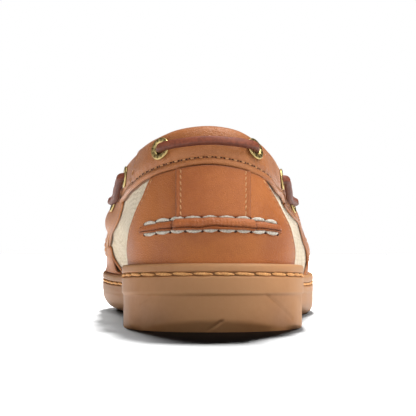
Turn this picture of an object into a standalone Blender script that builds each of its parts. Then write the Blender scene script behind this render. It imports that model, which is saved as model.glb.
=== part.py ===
"""A right-foot boat moccasin, empty and unbent on its gum rubber cupsole.

+Y points at the toe, +X at the outer (lateral) side and +Z up, with the floor at Z = 0. The tables
are in millimetres. Each row of a ring table is one section line of the last: s is the distance
forward of the heel's back, medial and lateral are the reach to each side of the heel's centre line.
"""

import math
from typing import NamedTuple

import bmesh
import bpy
import numpy as np

MM = 0.001
LENGTH = 262.0
GAP = 0.35

RIM_WIDTH = 3.2
CUP_DEPTH = 7.0
ARCH_RISE = 2.6
ARCH_BACK = 86.0
ARCH_FRONT = 148.0
TOE_SPRING = 9.5
TOE_SPRING_START = 204.0
TOE_CURVE = 1.7
HEEL_BEVEL = 4.2
HEEL_BEVEL_INSET = 7.2
EDGE_BEVEL = 2.0
EDGE_BEVEL_INSET = 2.4
BALL_PLACE = 168.0
BALL_REACH = 72.0
BALL_MEDIAL_BEVEL = 8.0
BALL_MEDIAL_INSET = 9.0
BALL_LATERAL_BEVEL = 4.0
BALL_LATERAL_INSET = 2.6
# How far in and up the middle of a quarter-round edge lies, as a share of its size.
ROUND_SHARE = 0.293
STEP_SHARE = 0.55
STEP_DEPTH = 0.6
STEP_HALF = 0.5
GROOVE_DROP = 3.6
GROOVE_HALF = 0.8
GROOVE_DEPTH = 0.8
FACET_DEPTH = 1.6
RIM_ROUND = 0.7

WALL = 1.6
OVERLAY = 1.3
TAB_THICKNESS = 1.2
RIM_CLEARANCE = 0.5
INSOLE_THICKNESS = 3.0
INSOLE_ROUND = 0.8
TONGUE_THICKNESS = 2.4
TONGUE_CURL = 0.0088
TONGUE_OFFSET = -1.2
TONGUE_ACROSS = 9
APRON_ROLL = 1.0

EYELET_RADIUS = 4.0
EYELET_HOLE = 2.25
EYELET_HEIGHT = 0.8
LACE_RADIUS = 1.5
EYELET_SIDES = 12
LACE_SIDES = 8

COLLAR_PAD = 3.0
FRONT_PAD = 2.0
INNER_PAD = 2.6
COLLAR_RISE = 3.2
COUNTER_TOP = GAP + OVERLAY
SADDLE_GAP = 0.45

# Ring indices where the heel collar laps over the front piece, and where both end at the saddle.
COLLAR_LAP = -9.1
COLLAR_END = 15.3
LAP_GAP = 0.05
# Ring indices between which the lateral side's padding thins out.
PAD_TAPER = (7.5, 12.0)
# How far before the saddle, in ring indices, the collar starts to thin out.
END_TAPER = 1.2

KICKER_MEDIAL = -6.3
KICKER_LATERAL = 5.5
KICKER_HEIGHT = 37.4
KICKER_FALL = 1.7
KICKER_COLUMNS = 13
KICKER_END = 0.6
KICKER_ROLL = ((-2.3, 0.5), (-1.3, 1.5), (0.0, 1.9), (1.3, 1.5), (2.3, 0.5))

# Where the eyelets sit: ring indices and lines of the skin, and section rows at the throat.
REAR_MEDIAL = -4.45
REAR_LATERAL = 4.45
REAR_V = 3.68
SIDE_BACK = 12.5
SIDE_BACK_V = 3.7
SIDE_FRONT = 16.4
SIDE_FRONT_V = 2.95
LOWER_ROW = 10.6
UPPER_ROW = 9.1
THROAT_V = 3.84
CROSSING_RISE = 3.4


class Row(NamedTuple):
    """One section of a ring: where it lies along the foot, its reach to both sides and its height."""

    s: float
    medial: float
    lateral: float
    z: float = 0.0
    lateral_drop: float = 0.0


# How many steps each stretch between two sections is drawn with, from the heel to the toe.
STEPS = (3, 3, 3, 2, 2, 2, 2, 2, 2, 2, 2, 3, 2, 3, 3)

SOLE_EDGE = (
    Row(0.0, 0.0, 0.0),
    Row(3.5, 15.0, 15.0),
    Row(13.0, 26.4, 26.4),
    Row(28.0, 32.4, 32.6),
    Row(46.0, 33.4, 34.2),
    Row(68.0, 32.0, 34.4),
    Row(92.0, 29.2, 34.6),
    Row(116.0, 29.8, 37.4),
    Row(140.0, 36.0, 43.0),
    Row(163.0, 43.6, 46.8),
    Row(186.0, 47.4, 47.3),
    Row(208.0, 47.2, 44.8),
    Row(228.0, 43.2, 38.0),
    Row(244.0, 36.0, 27.4),
    Row(256.5, 24.4, 11.4),
    Row(LENGTH, 9.5, -9.5),
)

# The widest line of the upper, just above the sole.
BULGE = (
    Row(2.8, 0.3, -0.3, 36.0),
    Row(5.8, 13.6, 13.2, 36.0),
    Row(14.5, 24.4, 23.8, 36.0),
    Row(28.5, 30.0, 29.2, 35.5),
    Row(46.0, 31.5, 30.6, 35.0),
    Row(68.0, 32.6, 31.6, 34.0),
    Row(92.0, 35.8, 32.8, 36.5),
    Row(116.0, 41.8, 36.6, 38.5),
    Row(140.0, 41.8, 39.4, 36.0),
    Row(163.0, 44.2, 43.2, 30.5),
    Row(186.0, 45.4, 45.2, 29.0),
    Row(208.0, 44.6, 42.2, 28.5),
    Row(227.0, 40.4, 35.2, 28.5),
    Row(242.0, 33.2, 24.6, 29.0),
    Row(253.0, 22.6, 9.8, 29.5),
    Row(258.0, 9.3, -9.3, 29.5),
)

# The lower edge of the collar at the back, and the apron's hand-sewn seam round the forefoot.
SHOULDER = (
    Row(6.0, 0.9, -0.9, 58.5),
    Row(8.6, 12.6, 10.6, 57.1, 0.6),
    Row(16.5, 22.4, 18.8, 54.0, 1.2),
    Row(29.0, 28.0, 22.6, 50.6, 1.4),
    Row(45.0, 30.4, 24.8, 49.2, 0.8),
    Row(66.0, 32.0, 26.6, 48.4, 0.3),
    Row(88.0, 34.6, 28.8, 47.0, 0.2),
    Row(112.0, 38.0, 33.4, 47.6, 0.2),
    Row(137.0, 36.8, 33.6, 47.8),
    Row(160.0, 34.0, 31.0, 46.6),
    Row(182.0, 32.6, 29.8, 44.2),
    Row(203.0, 31.2, 27.6, 42.0),
    Row(221.0, 28.2, 22.4, 40.4),
    Row(234.5, 23.0, 14.4, 39.2),
    Row(243.5, 15.6, 4.4, 38.6),
    Row(247.0, 6.6, -6.6, 38.4),
)

# The opening's edge: the top line at the back and sides, then the throat between the eyelet flaps.
TOP_EDGE = (
    Row(9.5, 1.5, -1.5, 69.6),
    Row(11.5, 11.8, 7.4, 68.5),
    Row(18.0, 19.4, 13.6, 65.8, 0.3),
    Row(29.5, 24.4, 18.4, 63.2, 0.6),
    Row(45.0, 27.8, 22.0, 61.2, 0.9),
    Row(64.0, 31.2, 25.2, 58.6, 1.2),
    Row(83.0, 33.4, 27.8, 55.8, 1.5),
    Row(99.0, 31.0, 28.0, 58.4, 1.0),
    Row(112.0, 26.2, 22.8, 63.6, 0.8),
    Row(123.5, 20.8, 18.0, 67.2, 0.2),
    Row(134.0, 16.8, 14.4, 66.2),
    Row(143.5, 14.8, 12.4, 62.8),
    Row(150.5, 12.6, 10.4, 60.0),
    Row(155.3, 9.2, 7.0, 58.2),
    Row(158.0, 5.2, 3.0, 57.2),
    Row(159.0, 1.0, -1.0, 56.8),
)

# The top of the sole's rim along the foot.
RIM_LINE = ((0.0, 24.2), (46.0, 22.4), (86.0, 19.6), (116.0, 17.6), (145.0, 16.8), (170.0, 17.3),
            (200.0, 18.0), (228.0, 19.2), (248.0, 21.4), (LENGTH, 23.8))

# The tongue's crown line, from its sewn end under the apron to its free end.
TONGUE_LINE = ((171.0, 50.9, 15.0), (160.0, 53.5, 18.0), (146.0, 58.3, 19.0), (131.0, 63.2, 19.5),
               (116.0, 67.6, 20.5), (103.0, 71.2, 21.5), (95.0, 73.0, 18.5), (92.0, 73.3, 12.0))

# Line numbers on the skin: 0 floor of the cup, 1 rim, 2 bulge, 3 shoulder, 4 top edge.
RIM_V = 1.0
SHOULDER_V = 3.0
TOP_V = 4.0
SKIN_LINES = (0.0, 1.0, 1.5, 2.0, 2.33, 2.67, 3.0, 3.12, 3.3, 3.5, 3.75, 4.0)
LINING_LINES = (0.0, 1.0, 2.0, 2.5, 3.0, 3.3, 3.65, 4.0)
COUNTER_LINES = (1.0, 1.5, 2.0, 2.33, 2.67, 2.95)
TAB_LINES = (2.0, 2.33, 2.67, 2.95)
SADDLE_LINES = (1.0, 1.5, 2.0, 2.33, 2.67, 3.0, 3.12, 3.3, 3.55, 3.8, 4.0)
APRON_LINES = (3.2, 3.4, 3.6, 3.8, 3.98)

# Side outlines (s, z) that the overlays are cut to.
COUNTER_CUT = ((-20.0, 0.0), (30.0, 0.0), (30.0, 24.0), (29.0, 28.0), (25.0, 33.0), (21.5, 38.0),
               (18.0, 44.5), (16.2, 50.0), (15.0, 58.0), (15.0, 90.0), (-20.0, 90.0))
SADDLE_CUT = ((94.0, 90.0), (94.0, 46.8), (83.0, 45.8), (90.0, 42.0), (97.0, 39.5), (112.0, 37.0),
              (130.0, 34.5), (143.0, 32.0), (152.0, 28.5), (158.0, 24.0), (157.0, 20.0), (155.0, 17.0),
              (155.0, 0.0), (181.0, 0.0), (177.0, 18.0), (158.5, 46.0), (153.0, 62.0), (152.0, 90.0))
TAB_CUT = ((-13.2, 40.4), (12.8, 40.4), (12.8, 90.0), (-13.2, 90.0))
APRON_CUT = ((153.0, 90.0), (154.0, 62.0), (159.5, 46.0), (167.5, 18.0), (280.0, 18.0), (280.0, 90.0))


def smooth(x, knots):
    """A smooth height read from (place, value) knots, with level ends."""
    places = np.array([knot[0] for knot in knots])
    values = np.array([knot[1] for knot in knots])
    slopes = np.gradient(values, places)
    x = np.clip(np.asarray(x, dtype=float), places[0], places[-1])
    i = np.clip(np.searchsorted(places, x, side="right") - 1, 0, len(places) - 2)
    span = places[i + 1] - places[i]
    t = (x - places[i]) / span
    rise = values[i] * (1 - t) ** 2 * (1 + 2 * t) + values[i + 1] * t**2 * (3 - 2 * t)
    return rise + span * t * (1 - t) * (slopes[i] * (1 - t) - slopes[i + 1] * t)


def centripetal(p0, p1, p2, p3, t):
    """A point at share t of the stretch p1 to p2 of a centripetal spline. The points are (..., 3)."""
    def knot(a, b):
        return np.sqrt(np.linalg.norm(b - a, axis=-1, keepdims=True)) + 1e-9

    t0 = 0.0
    t1 = t0 + knot(p0, p1)
    t2 = t1 + knot(p1, p2)
    t3 = t2 + knot(p2, p3)
    u = t1 + (t2 - t1) * t
    a1 = (t1 - u) / (t1 - t0) * p0 + (u - t0) / (t1 - t0) * p1
    a2 = (t2 - u) / (t2 - t1) * p1 + (u - t1) / (t2 - t1) * p2
    a3 = (t3 - u) / (t3 - t2) * p2 + (u - t2) / (t3 - t2) * p3
    b1 = (t2 - u) / (t2 - t0) * a1 + (u - t0) / (t2 - t0) * a2
    b2 = (t3 - u) / (t3 - t1) * a2 + (u - t1) / (t3 - t1) * a3
    return (t2 - u) / (t2 - t1) * b1 + (u - t1) / (t2 - t1) * b2


def ring(rows):
    """The closed ring through a table: up the lateral side from the heel and back down the medial side."""
    outer = [(row.lateral, row.s, row.z - row.lateral_drop) for row in rows]
    inner = [(-row.medial, row.s, row.z) for row in rows[-2:0:-1]]
    points = np.array(outer + inner)
    counts = STEPS + STEPS[::-1]
    sampled = []
    for k, count in enumerate(counts):
        around = [points[(k + shift) % len(points)] for shift in (-1, 0, 1, 2)]
        sampled += [centripetal(*around, step / count) for step in range(count)]
    return np.array(sampled)


def column(row, medial=False):
    """The ring index, with its fraction, of a section row of the tables."""
    whole = min(int(row), len(STEPS) - 1)
    index = sum(STEPS[:whole]) + STEPS[whole] * (row - whole)
    return -index if medial else index


def level_normals(loop):
    """Outward level normals of a closed ring of points."""
    along = np.roll(loop, -1, axis=0) - np.roll(loop, 1, axis=0)
    normals = np.stack([along[:, 1], -along[:, 0], np.zeros(len(loop))], axis=1)
    return normals / np.linalg.norm(normals, axis=1, keepdims=True)


def ground(s):
    """The height of the sole's underside: flat under heel and ball, raised at the arch and the toe."""
    arch = np.clip((s - ARCH_BACK) / (ARCH_FRONT - ARCH_BACK), 0.0, 1.0)
    toe = np.clip((s - TOE_SPRING_START) / (LENGTH - TOE_SPRING_START), 0.0, 1.0)
    return ARCH_RISE * np.sin(math.pi * arch) ** 2 + TOE_SPRING * toe**TOE_CURVE


def rim(s):
    """The height of the sole's rim."""
    return smooth(s, RIM_LINE)


def near(s, centre, reach):
    """1 at the centre, falling smoothly to 0 at the reach on both sides."""
    return np.cos(np.clip((s - centre) / reach, -1.0, 1.0) * math.pi / 2) ** 2


def edge_ring(inset, height):
    """The sole's outline moved inwards by inset and set at height, each a number or one value a point."""
    loop = ring(SOLE_EDGE)
    moved = loop - level_normals(loop) * np.broadcast_to(inset, len(loop))[:, None]
    moved[:, 2] = height
    return moved


def make_object(name, bm, colour, roughness, metallic=0.0):
    """A mesh object in metres from a bmesh in millimetres, with its own material."""
    bmesh.ops.recalc_face_normals(bm, faces=bm.faces)
    bmesh.ops.scale(bm, vec=(MM, MM, MM), verts=bm.verts)
    bmesh.ops.translate(bm, vec=(0.0, -LENGTH / 2 * MM, 0.0), verts=bm.verts)
    mesh = bpy.data.meshes.new(name)
    bm.to_mesh(mesh)
    bm.free()
    mesh.shade_smooth()
    mesh.set_sharp_from_angle(angle=math.radians(40))
    material = bpy.data.materials.new(name)
    material.use_nodes = True
    shader = material.node_tree.nodes["Principled BSDF"]
    shader.inputs["Base Color"].default_value = (*colour, 1.0)
    shader.inputs["Roughness"].default_value = roughness
    shader.inputs["Metallic"].default_value = metallic
    material.diffuse_color = (*colour, 1.0)
    mesh.materials.append(material)
    made = bpy.data.objects.new(name, mesh)
    bpy.context.scene.collection.objects.link(made)
    return made


def add_rings(bm, rings, close_rings=False, close_columns=True):
    """Quads between rings of points. Returns the vertices, ring by ring."""
    lines = [[bm.verts.new(point) for point in points] for points in rings]
    pairs = list(zip(lines, lines[1:]))
    if close_rings:
        pairs.append((lines[-1], lines[0]))
    count = len(lines[0])
    for lower, upper in pairs:
        for j in range(count if close_columns else count - 1):
            k = (j + 1) % count
            bm.faces.new((lower[j], lower[k], upper[k], upper[j]))
    return lines


def ladder(bm, line):
    """Closes a ring of the foot's outline with strips across the foot."""
    half = len(line) // 2
    bm.faces.new((line[0], line[1], line[-1]))
    for j in range(1, half - 1):
        bm.faces.new((line[j], line[j + 1], line[-j - 1], line[-j]))
    bm.faces.new((line[half - 1], line[half], line[half + 1]))


def slab(name, inner, outer, look):
    """One closed body between two open grids of points of the same shape."""
    bm = bmesh.new()
    loops = []
    for inside, outside in zip(inner, outer):
        loops.append(np.concatenate([inside, outside[::-1]]))
    lines = add_rings(bm, loops)
    wide = len(inner[0])
    for line in (lines[0], lines[-1]):
        for j in range(wide - 1):
            bm.faces.new((line[j], line[j + 1], line[-j - 2], line[-j - 1]))
    return make_object(name, bm, *look)


def prism(name, outline, axis):
    """A cutter: an outline in (s, z) run across the shoe, or in (x, z) run along it."""
    bm = bmesh.new()
    reach = (-90.0, 90.0) if axis == "x" else (-40.0, 60.0)
    lines = []
    for end in reach:
        lines.append([(end, a, z) if axis == "x" else (a, end, z) for a, z in outline])
    verts = add_rings(bm, lines)
    for line in verts:
        bm.faces.new(line)
    cutter = make_object(name, bm, (0.5, 0.5, 0.5), 1.0)
    cutter.hide_render = True
    cutter.display_type = "WIRE"
    return cutter


def cut_to(body, cutter):
    """Keeps what lies inside the cutter."""
    modifier = body.modifiers.new("outline", "BOOLEAN")
    modifier.operation = "INTERSECT"
    modifier.solver = "EXACT"
    modifier.object = cutter


class Skin:
    """The upper's outer surface, read anywhere by a ring index and a line number."""

    def __init__(self):
        inset = RIM_WIDTH + GAP
        s = ring(SOLE_EDGE)[:, 1]
        foot = edge_ring(inset, rim(s) - CUP_DEPTH + GAP)
        collar = edge_ring(inset, rim(s) + RIM_CLEARANCE)
        lines = [foot, collar, ring(BULGE), ring(SHOULDER), ring(TOP_EDGE)]
        self.lines = [2 * lines[0] - lines[1], *lines, 2 * lines[-1] - lines[-2]]
        self.level = level_normals(foot)

    def line(self, v):
        """The ring of points at line number v."""
        k = min(int(v), len(self.lines) - 4)
        return centripetal(*self.lines[k:k + 4], v - k)

    def normals(self, v):
        """Outward normals at line number v, kept level at the sole's rim."""
        if v <= RIM_V:
            return self.level
        here = self.line(v)
        along = np.roll(here, -1, axis=0) - np.roll(here, 1, axis=0)
        up = self.line(min(v + 0.04, TOP_V)) - self.line(v - 0.04)
        normals = np.cross(along, up)
        return normals / np.linalg.norm(normals, axis=1, keepdims=True)

    def lifted(self, v, lift, columns=None):
        """The ring at line v moved off the skin by lift, or only some of its columns."""
        points = self.line(v) + self.normals(v) * lift
        return points if columns is None else points[np.array(columns) % len(points)]

    def spot(self, index, v):
        """The point, the normal and the upward direction at a ring index with a fraction."""
        low = math.floor(index)
        share = index - low
        read = []
        for values in (self.line(v), self.normals(v), self.line(v) - self.line(v - 0.1)):
            count = len(values)
            read.append(values[low % count] * (1 - share) + values[(low + 1) % count] * share)
        point, normal, up = read
        return point, normal / np.linalg.norm(normal), up / np.linalg.norm(up)

    def line_at_height(self, index, height):
        """The line number between rim and shoulder where the skin reaches a height."""
        lines = np.linspace(RIM_V, SHOULDER_V, 41)
        return float(np.interp(height, [self.spot(index, v)[0][2] for v in lines], lines))


RUBBER = ((0.46, 0.26, 0.14), 0.55)
LEATHER = ((0.42, 0.16, 0.06), 0.5)
CREAM = ((0.62, 0.54, 0.42), 0.9)
LINING = ((0.36, 0.19, 0.10), 0.8)
RAWHIDE = ((0.18, 0.06, 0.035), 0.55)
BRASS = ((0.60, 0.45, 0.20), 0.3, 1.0)


def make_outsole():
    """The cupsole: its lower edge is bevelled at the heel and rounded at the ball, under a step, a
    stitch groove and the rim, with the cup inside."""
    edge = ring(SOLE_EDGE)
    s = edge[:, 1]
    low, top = ground(s), rim(s)
    heel = near(s, 0.0, 14.0)
    ball = near(s, BALL_PLACE, BALL_REACH)
    medial = edge[:, 0] < 0.0
    facet = FACET_DEPTH * near(s, 13.0, 10.0)
    ball_bevel = np.where(medial, BALL_MEDIAL_BEVEL, BALL_LATERAL_BEVEL)
    ball_inset = np.where(medial, BALL_MEDIAL_INSET, BALL_LATERAL_INSET)
    bevel = EDGE_BEVEL + (HEEL_BEVEL - EDGE_BEVEL) * heel + (ball_bevel - EDGE_BEVEL) * ball
    inset = (EDGE_BEVEL_INSET + (HEEL_BEVEL_INSET - EDGE_BEVEL_INSET) * heel
             + (ball_inset - EDGE_BEVEL_INSET) * ball)
    share = 0.5 + (ROUND_SHARE - 0.5) * ball
    step = low + (top - low) * STEP_SHARE
    groove = top - GROOVE_DROP
    floor = top - CUP_DEPTH
    profile = (
        (inset, low),
        (STEP_DEPTH + facet + (inset - STEP_DEPTH - facet) * share, low + bevel * share),
        (STEP_DEPTH + facet, low + bevel),
        (STEP_DEPTH + 0.2 * facet, step - STEP_HALF),
        (0.0, step + STEP_HALF),
        (0.0, groove - GROOVE_HALF),
        (GROOVE_DEPTH, groove - 0.4 * GROOVE_HALF),
        (GROOVE_DEPTH, groove + 0.4 * GROOVE_HALF),
        (0.0, groove + GROOVE_HALF),
        (0.0, top - RIM_ROUND),
        (RIM_ROUND, top),
        (RIM_WIDTH, top),
        (RIM_WIDTH, floor),
    )
    bm = bmesh.new()
    lines = add_rings(bm, [edge_ring(inset, height) for inset, height in profile])
    ladder(bm, lines[0])
    ladder(bm, lines[-1])
    return make_object("outsole", bm, *RUBBER)


def make_insole():
    """The footbed that lies in the cup, inside the upper's wall."""
    s = ring(SOLE_EDGE)[:, 1]
    floor = rim(s) - CUP_DEPTH + GAP
    inset = RIM_WIDTH + WALL + 2 * GAP
    top = floor + INSOLE_THICKNESS
    profile = ((inset, floor), (inset, top - INSOLE_ROUND), (inset + INSOLE_ROUND, top))
    bm = bmesh.new()
    lines = add_rings(bm, [edge_ring(*line) for line in profile])
    ladder(bm, lines[0])
    ladder(bm, lines[-1])
    return make_object("insole", bm, *LINING)


def make_upper(skin):
    """The hollow upper: one wall round the foot, open at the collar, the throat and underneath."""
    outer = [skin.lifted(v, 0.0) for v in SKIN_LINES]
    inner = [skin.lifted(v, -WALL) for v in LINING_LINES]
    bm = bmesh.new()
    add_rings(bm, outer + inner[::-1], close_rings=True)
    return make_object("upper", bm, *CREAM)


def make_tongue():
    """The tongue: a curled strip sewn under the apron, free at its top end."""
    across = np.linspace(-1.0, 1.0, TONGUE_ACROSS)
    top = []
    for s, z, half in TONGUE_LINE:
        reach = across * half
        z = z - TONGUE_CURL * reach**2
        top.append(np.stack([reach + TONGUE_OFFSET, np.full(TONGUE_ACROSS, s), z], axis=1))
    low = [line - np.array([0.0, 0.0, TONGUE_THICKNESS]) for line in top]
    return slab("tongue", low, top, LEATHER)


def overlay(name, skin, columns, layers, look, cutter=None):
    """A piece that lies on the skin. Each layer is (line, lift of the inside, lift of the outside)."""
    inner = [skin.lifted(v, low, columns) for v, low, _ in layers]
    outer = [skin.lifted(v, high, columns) for v, _, high in layers]
    body = slab(name, inner, outer, look)
    if cutter:
        cut_to(body, cutter)
    return body


def even_layers(lines, low, thickness):
    """Layers of one thickness over the given lines."""
    return [(v, low, low + thickness) for v in lines]


def make_counter(skin):
    """The heel counter panel, over the cloth quarters."""
    cutter = prism("counter_outline", COUNTER_CUT, "x")
    layers = even_layers(COUNTER_LINES, GAP, OVERLAY)
    overlay("counter", skin, range(-13, 14), layers, LEATHER, cutter)


def make_back_tab(skin):
    """The bare strip up the middle of the heel, from the kicker seam to the collar."""
    cutter = prism("tab_outline", TAB_CUT, "y")
    layers = even_layers(TAB_LINES, COUNTER_TOP + GAP, TAB_THICKNESS)
    overlay("back_tab", skin, range(-4, 5), layers, LEATHER, cutter)


def make_kicker_seam(skin):
    """The raised hand-sewn roll across the heel."""
    base = COUNTER_TOP + GAP
    columns = np.linspace(KICKER_MEDIAL, KICKER_LATERAL, KICKER_COLUMNS)
    heights = KICKER_HEIGHT - KICKER_FALL * (columns / KICKER_MEDIAL) ** 2
    fullness = np.ones(KICKER_COLUMNS)
    fullness[[0, -1]] = KICKER_END
    inner, outer = [], []
    for drop, bulge in KICKER_ROLL:
        low, high = [], []
        for index, height, full in zip(columns, heights, fullness):
            point, normal, _ = skin.spot(index, skin.line_at_height(index, height + drop * full))
            low.append(point + normal * base)
            high.append(point + normal * (base + bulge * full))
        inner.append(np.array(low))
        outer.append(np.array(high))
    slab("kicker_seam", inner, outer, LEATHER)


def collar_section(pad, fullness):
    """The collar's section: (line, lift, rise over the top edge) round a cap of the given padding."""
    under = -WALL - GAP
    inside = under - INNER_PAD * fullness
    outside = max(pad * fullness, GAP + 0.9)
    rise = COLLAR_RISE * fullness
    return (
        (3.04, GAP, 0.0),
        (3.5, GAP, 0.0),
        (4.0, GAP, GAP),
        (4.0, under, GAP),
        (3.55, under, 0.0),
        (3.55, (under + inside) / 2, 0.0),
        (3.85, inside, 0.0),
        (4.0, 0.8 * inside + 0.2 * under, 0.6 * rise),
        (4.0, under + 0.4, rise),
        (4.0, 0.4 * outside, rise),
        (4.0, 0.9 * outside, 0.5 * rise),
        (3.75, outside, 0.0),
        (3.3, 0.95 * outside, 0.0),
        (3.08, max(0.6 * outside, GAP + 0.6), 0.0),
    )


def make_collar(name, skin, start, stop, count):
    """A padded collar piece: it caps the upper's top edge from one ring index to another."""
    rings = []
    for index in np.linspace(start, stop, count):
        section = []
        pad = FRONT_PAD if stop < 0 else np.interp(index, PAD_TAPER, (COLLAR_PAD, FRONT_PAD))
        fullness = np.interp(COLLAR_END - abs(index), (0.0, END_TAPER), (0.45, 1.0))
        for v, lift, rise in collar_section(pad, fullness):
            point, normal, up = skin.spot(index, v)
            section.append(point + normal * lift + up * rise)
        rings.append(section)
    bm = bmesh.new()
    lines = add_rings(bm, rings)
    bm.faces.new(lines[0])
    bm.faces.new(lines[-1])
    make_object(name, bm, *LEATHER)


def make_saddles(skin):
    """The leather panels on both sides, from the top line down to the sole, with the eyelet flaps."""
    cutter = prism("saddle_outline", SADDLE_CUT, "x")
    layers = even_layers(SADDLE_LINES, SADDLE_GAP, OVERLAY)
    overlay("saddle_lateral", skin, range(13, 26), layers, LEATHER, cutter)
    overlay("saddle_medial", skin, range(-25, -12), layers, LEATHER, cutter)


def make_apron(skin):
    """The plug on top of the forefoot, with the raised roll of its hand-sewn seam round the edge."""
    cutter = prism("apron_outline", APRON_CUT, "x")
    top = GAP + OVERLAY
    roll = top + APRON_ROLL
    layers = [(3.01, GAP, 0.5 * roll), (3.03, GAP, roll), (3.055, GAP, roll), (3.08, GAP, top)]
    layers += even_layers(APRON_LINES, GAP, OVERLAY)
    overlay("apron", skin, range(18, 55), layers, LEATHER, cutter)


def make_eyelet(name, spot, lift):
    """A brass eyelet: a turned ring with a rounded lip, lying on the surface at a spot."""
    point, normal, up = spot
    side = np.cross(up, normal)
    side /= np.linalg.norm(side)
    up = np.cross(normal, side)
    outline = (
        (EYELET_HOLE, 0.0),
        (EYELET_RADIUS, 0.0),
        (EYELET_RADIUS - 0.4, 0.7 * EYELET_HEIGHT),
        (0.5 * (EYELET_HOLE + EYELET_RADIUS), EYELET_HEIGHT),
        (EYELET_HOLE, 0.5 * EYELET_HEIGHT),
    )
    rings = []
    for turn in np.arange(EYELET_SIDES) / EYELET_SIDES * math.tau:
        out = side * math.cos(turn) + up * math.sin(turn)
        rings.append([point + out * radius + normal * (lift + rise) for radius, rise in outline])
    bm = bmesh.new()
    add_rings(bm, rings, close_rings=True)
    make_object(name, bm, *BRASS)


def smooth_path(points, steps):
    """A spline through the points."""
    points = np.array(points)
    points = np.concatenate([[2 * points[0] - points[1]], points, [2 * points[-1] - points[-2]]])
    path = []
    for k in range(len(points) - 3):
        path += [centripetal(*points[k:k + 4], t) for t in np.arange(steps) / steps]
    return np.array(path + [points[-2]])


def make_lace(name, route, steps=3):
    """A round cord along a route, with flat ends."""
    path = smooth_path(route, steps)
    along = np.gradient(path, axis=0)
    along /= np.linalg.norm(along, axis=1, keepdims=True)
    side = np.cross(along[0], (0.3, 0.2, 0.93))
    rings = []
    for centre, direction in zip(path, along):
        side = side - direction * np.dot(side, direction)
        side /= np.linalg.norm(side)
        other = np.cross(direction, side)
        turns = np.arange(LACE_SIDES) / LACE_SIDES * math.tau
        rings.append([centre + LACE_RADIUS * (side * math.cos(a) + other * math.sin(a)) for a in turns])
    bm = bmesh.new()
    lines = add_rings(bm, rings)
    bm.faces.new(lines[0])
    bm.faces.new(lines[-1])
    return make_object(name, bm, *RAWHIDE)


def off_skin(skin, stops):
    """Points of a route given as (ring index, line, lift)."""
    route = []
    for index, v, lift in stops:
        point, normal, _ = skin.spot(index, v)
        route.append(point + normal * lift)
    return route


def make_fittings(skin):
    """The eyelets and the stretches of lace that run outside between them."""
    bar = COLLAR_PAD + GAP + LACE_RADIUS + 0.9
    rear = off_skin(skin, (
        (REAR_MEDIAL, REAR_V, COLLAR_PAD + 2 * GAP),
        (REAR_MEDIAL + 0.12, REAR_V + 0.01, bar - 0.4),
        (REAR_MEDIAL + 1.3, REAR_V - 0.04, bar + 0.6),
        (0.0, REAR_V - 0.09, bar + 0.2),
        (REAR_LATERAL - 1.3, REAR_V - 0.04, bar + 0.6),
        (REAR_LATERAL - 0.12, REAR_V + 0.01, bar - 0.4),
        (REAR_LATERAL, REAR_V, COLLAR_PAD + 2 * GAP),
    ))
    make_eyelet("eyelet_rear_medial", skin.spot(REAR_MEDIAL, REAR_V), COLLAR_PAD + GAP)
    make_eyelet("eyelet_rear_lateral", skin.spot(REAR_LATERAL, REAR_V), COLLAR_PAD + GAP)
    make_lace("lace_rear", rear)
    flap = COUNTER_TOP + GAP
    pad = FRONT_PAD
    for side, sign in (("medial", -1), ("lateral", 1)):
        back, front = sign * SIDE_BACK, sign * SIDE_FRONT
        make_eyelet(f"eyelet_side_back_{side}", skin.spot(back, SIDE_BACK_V), pad + GAP)
        make_eyelet(f"eyelet_side_front_{side}", skin.spot(front, SIDE_FRONT_V), flap)
        route = off_skin(skin, (
            (back, SIDE_BACK_V, pad + 2.5 * GAP),
            (back + 0.08 * sign, SIDE_BACK_V - 0.02, pad + 2.5),
            ((back + front) / 2, (SIDE_BACK_V + SIDE_FRONT_V) / 2, pad + 2.2),
            (front - 0.08 * sign, SIDE_FRONT_V + 0.02, flap + 2.1),
            (front, SIDE_FRONT_V, flap + 2 * GAP),
        ))
        make_lace(f"lace_{side}", route)
        for row, height in (("lower", LOWER_ROW), ("upper", UPPER_ROW)):
            spot = skin.spot(column(height, sign < 0), THROAT_V)
            make_eyelet(f"eyelet_throat_{row}_{side}", spot, flap)
    runs = []
    for side, sign in (("medial", -1), ("lateral", 1)):
        low = off_skin(skin, ((column(LOWER_ROW, sign < 0), THROAT_V, flap + GAP),
                              (column(LOWER_ROW, sign < 0), THROAT_V + 0.02, flap + 3.0)))
        high = off_skin(skin, ((column(UPPER_ROW, sign > 0), THROAT_V + 0.02, flap + 3.0),
                               (column(UPPER_ROW, sign > 0), THROAT_V, flap + GAP)))
        middle = (low[1] + high[0]) / 2 + np.array([0.0, 0.0, CROSSING_RISE])
        runs.append(make_lace(f"lace_throat_{side}", [*low, middle, *high], steps=4))
    join = runs[0].modifiers.new("crossing", "BOOLEAN")
    join.operation = "UNION"
    join.solver = "EXACT"
    join.object = runs[1]
    runs[0].name = "lace_throat"
    runs[1].hide_render = True
    runs[1].display_type = "WIRE"


def centre_on_floor():
    """Parents the shoe to an empty that brings the middle of its box over the origin."""
    root = bpy.data.objects.new("shoe_root", None)
    pieces = list(bpy.context.scene.objects)
    bpy.context.scene.collection.objects.link(root)
    bpy.context.view_layer.update()
    graph = bpy.context.evaluated_depsgraph_get()
    corners = []
    for piece in pieces:
        piece.parent = root
        if not piece.hide_render:
            corners += [tuple(corner) for corner in piece.evaluated_get(graph).bound_box]
    corners = np.array(corners)
    middle = (corners.min(axis=0) + corners.max(axis=0)) / 2
    root.location = (-middle[0], -middle[1], 0.0)


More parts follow.
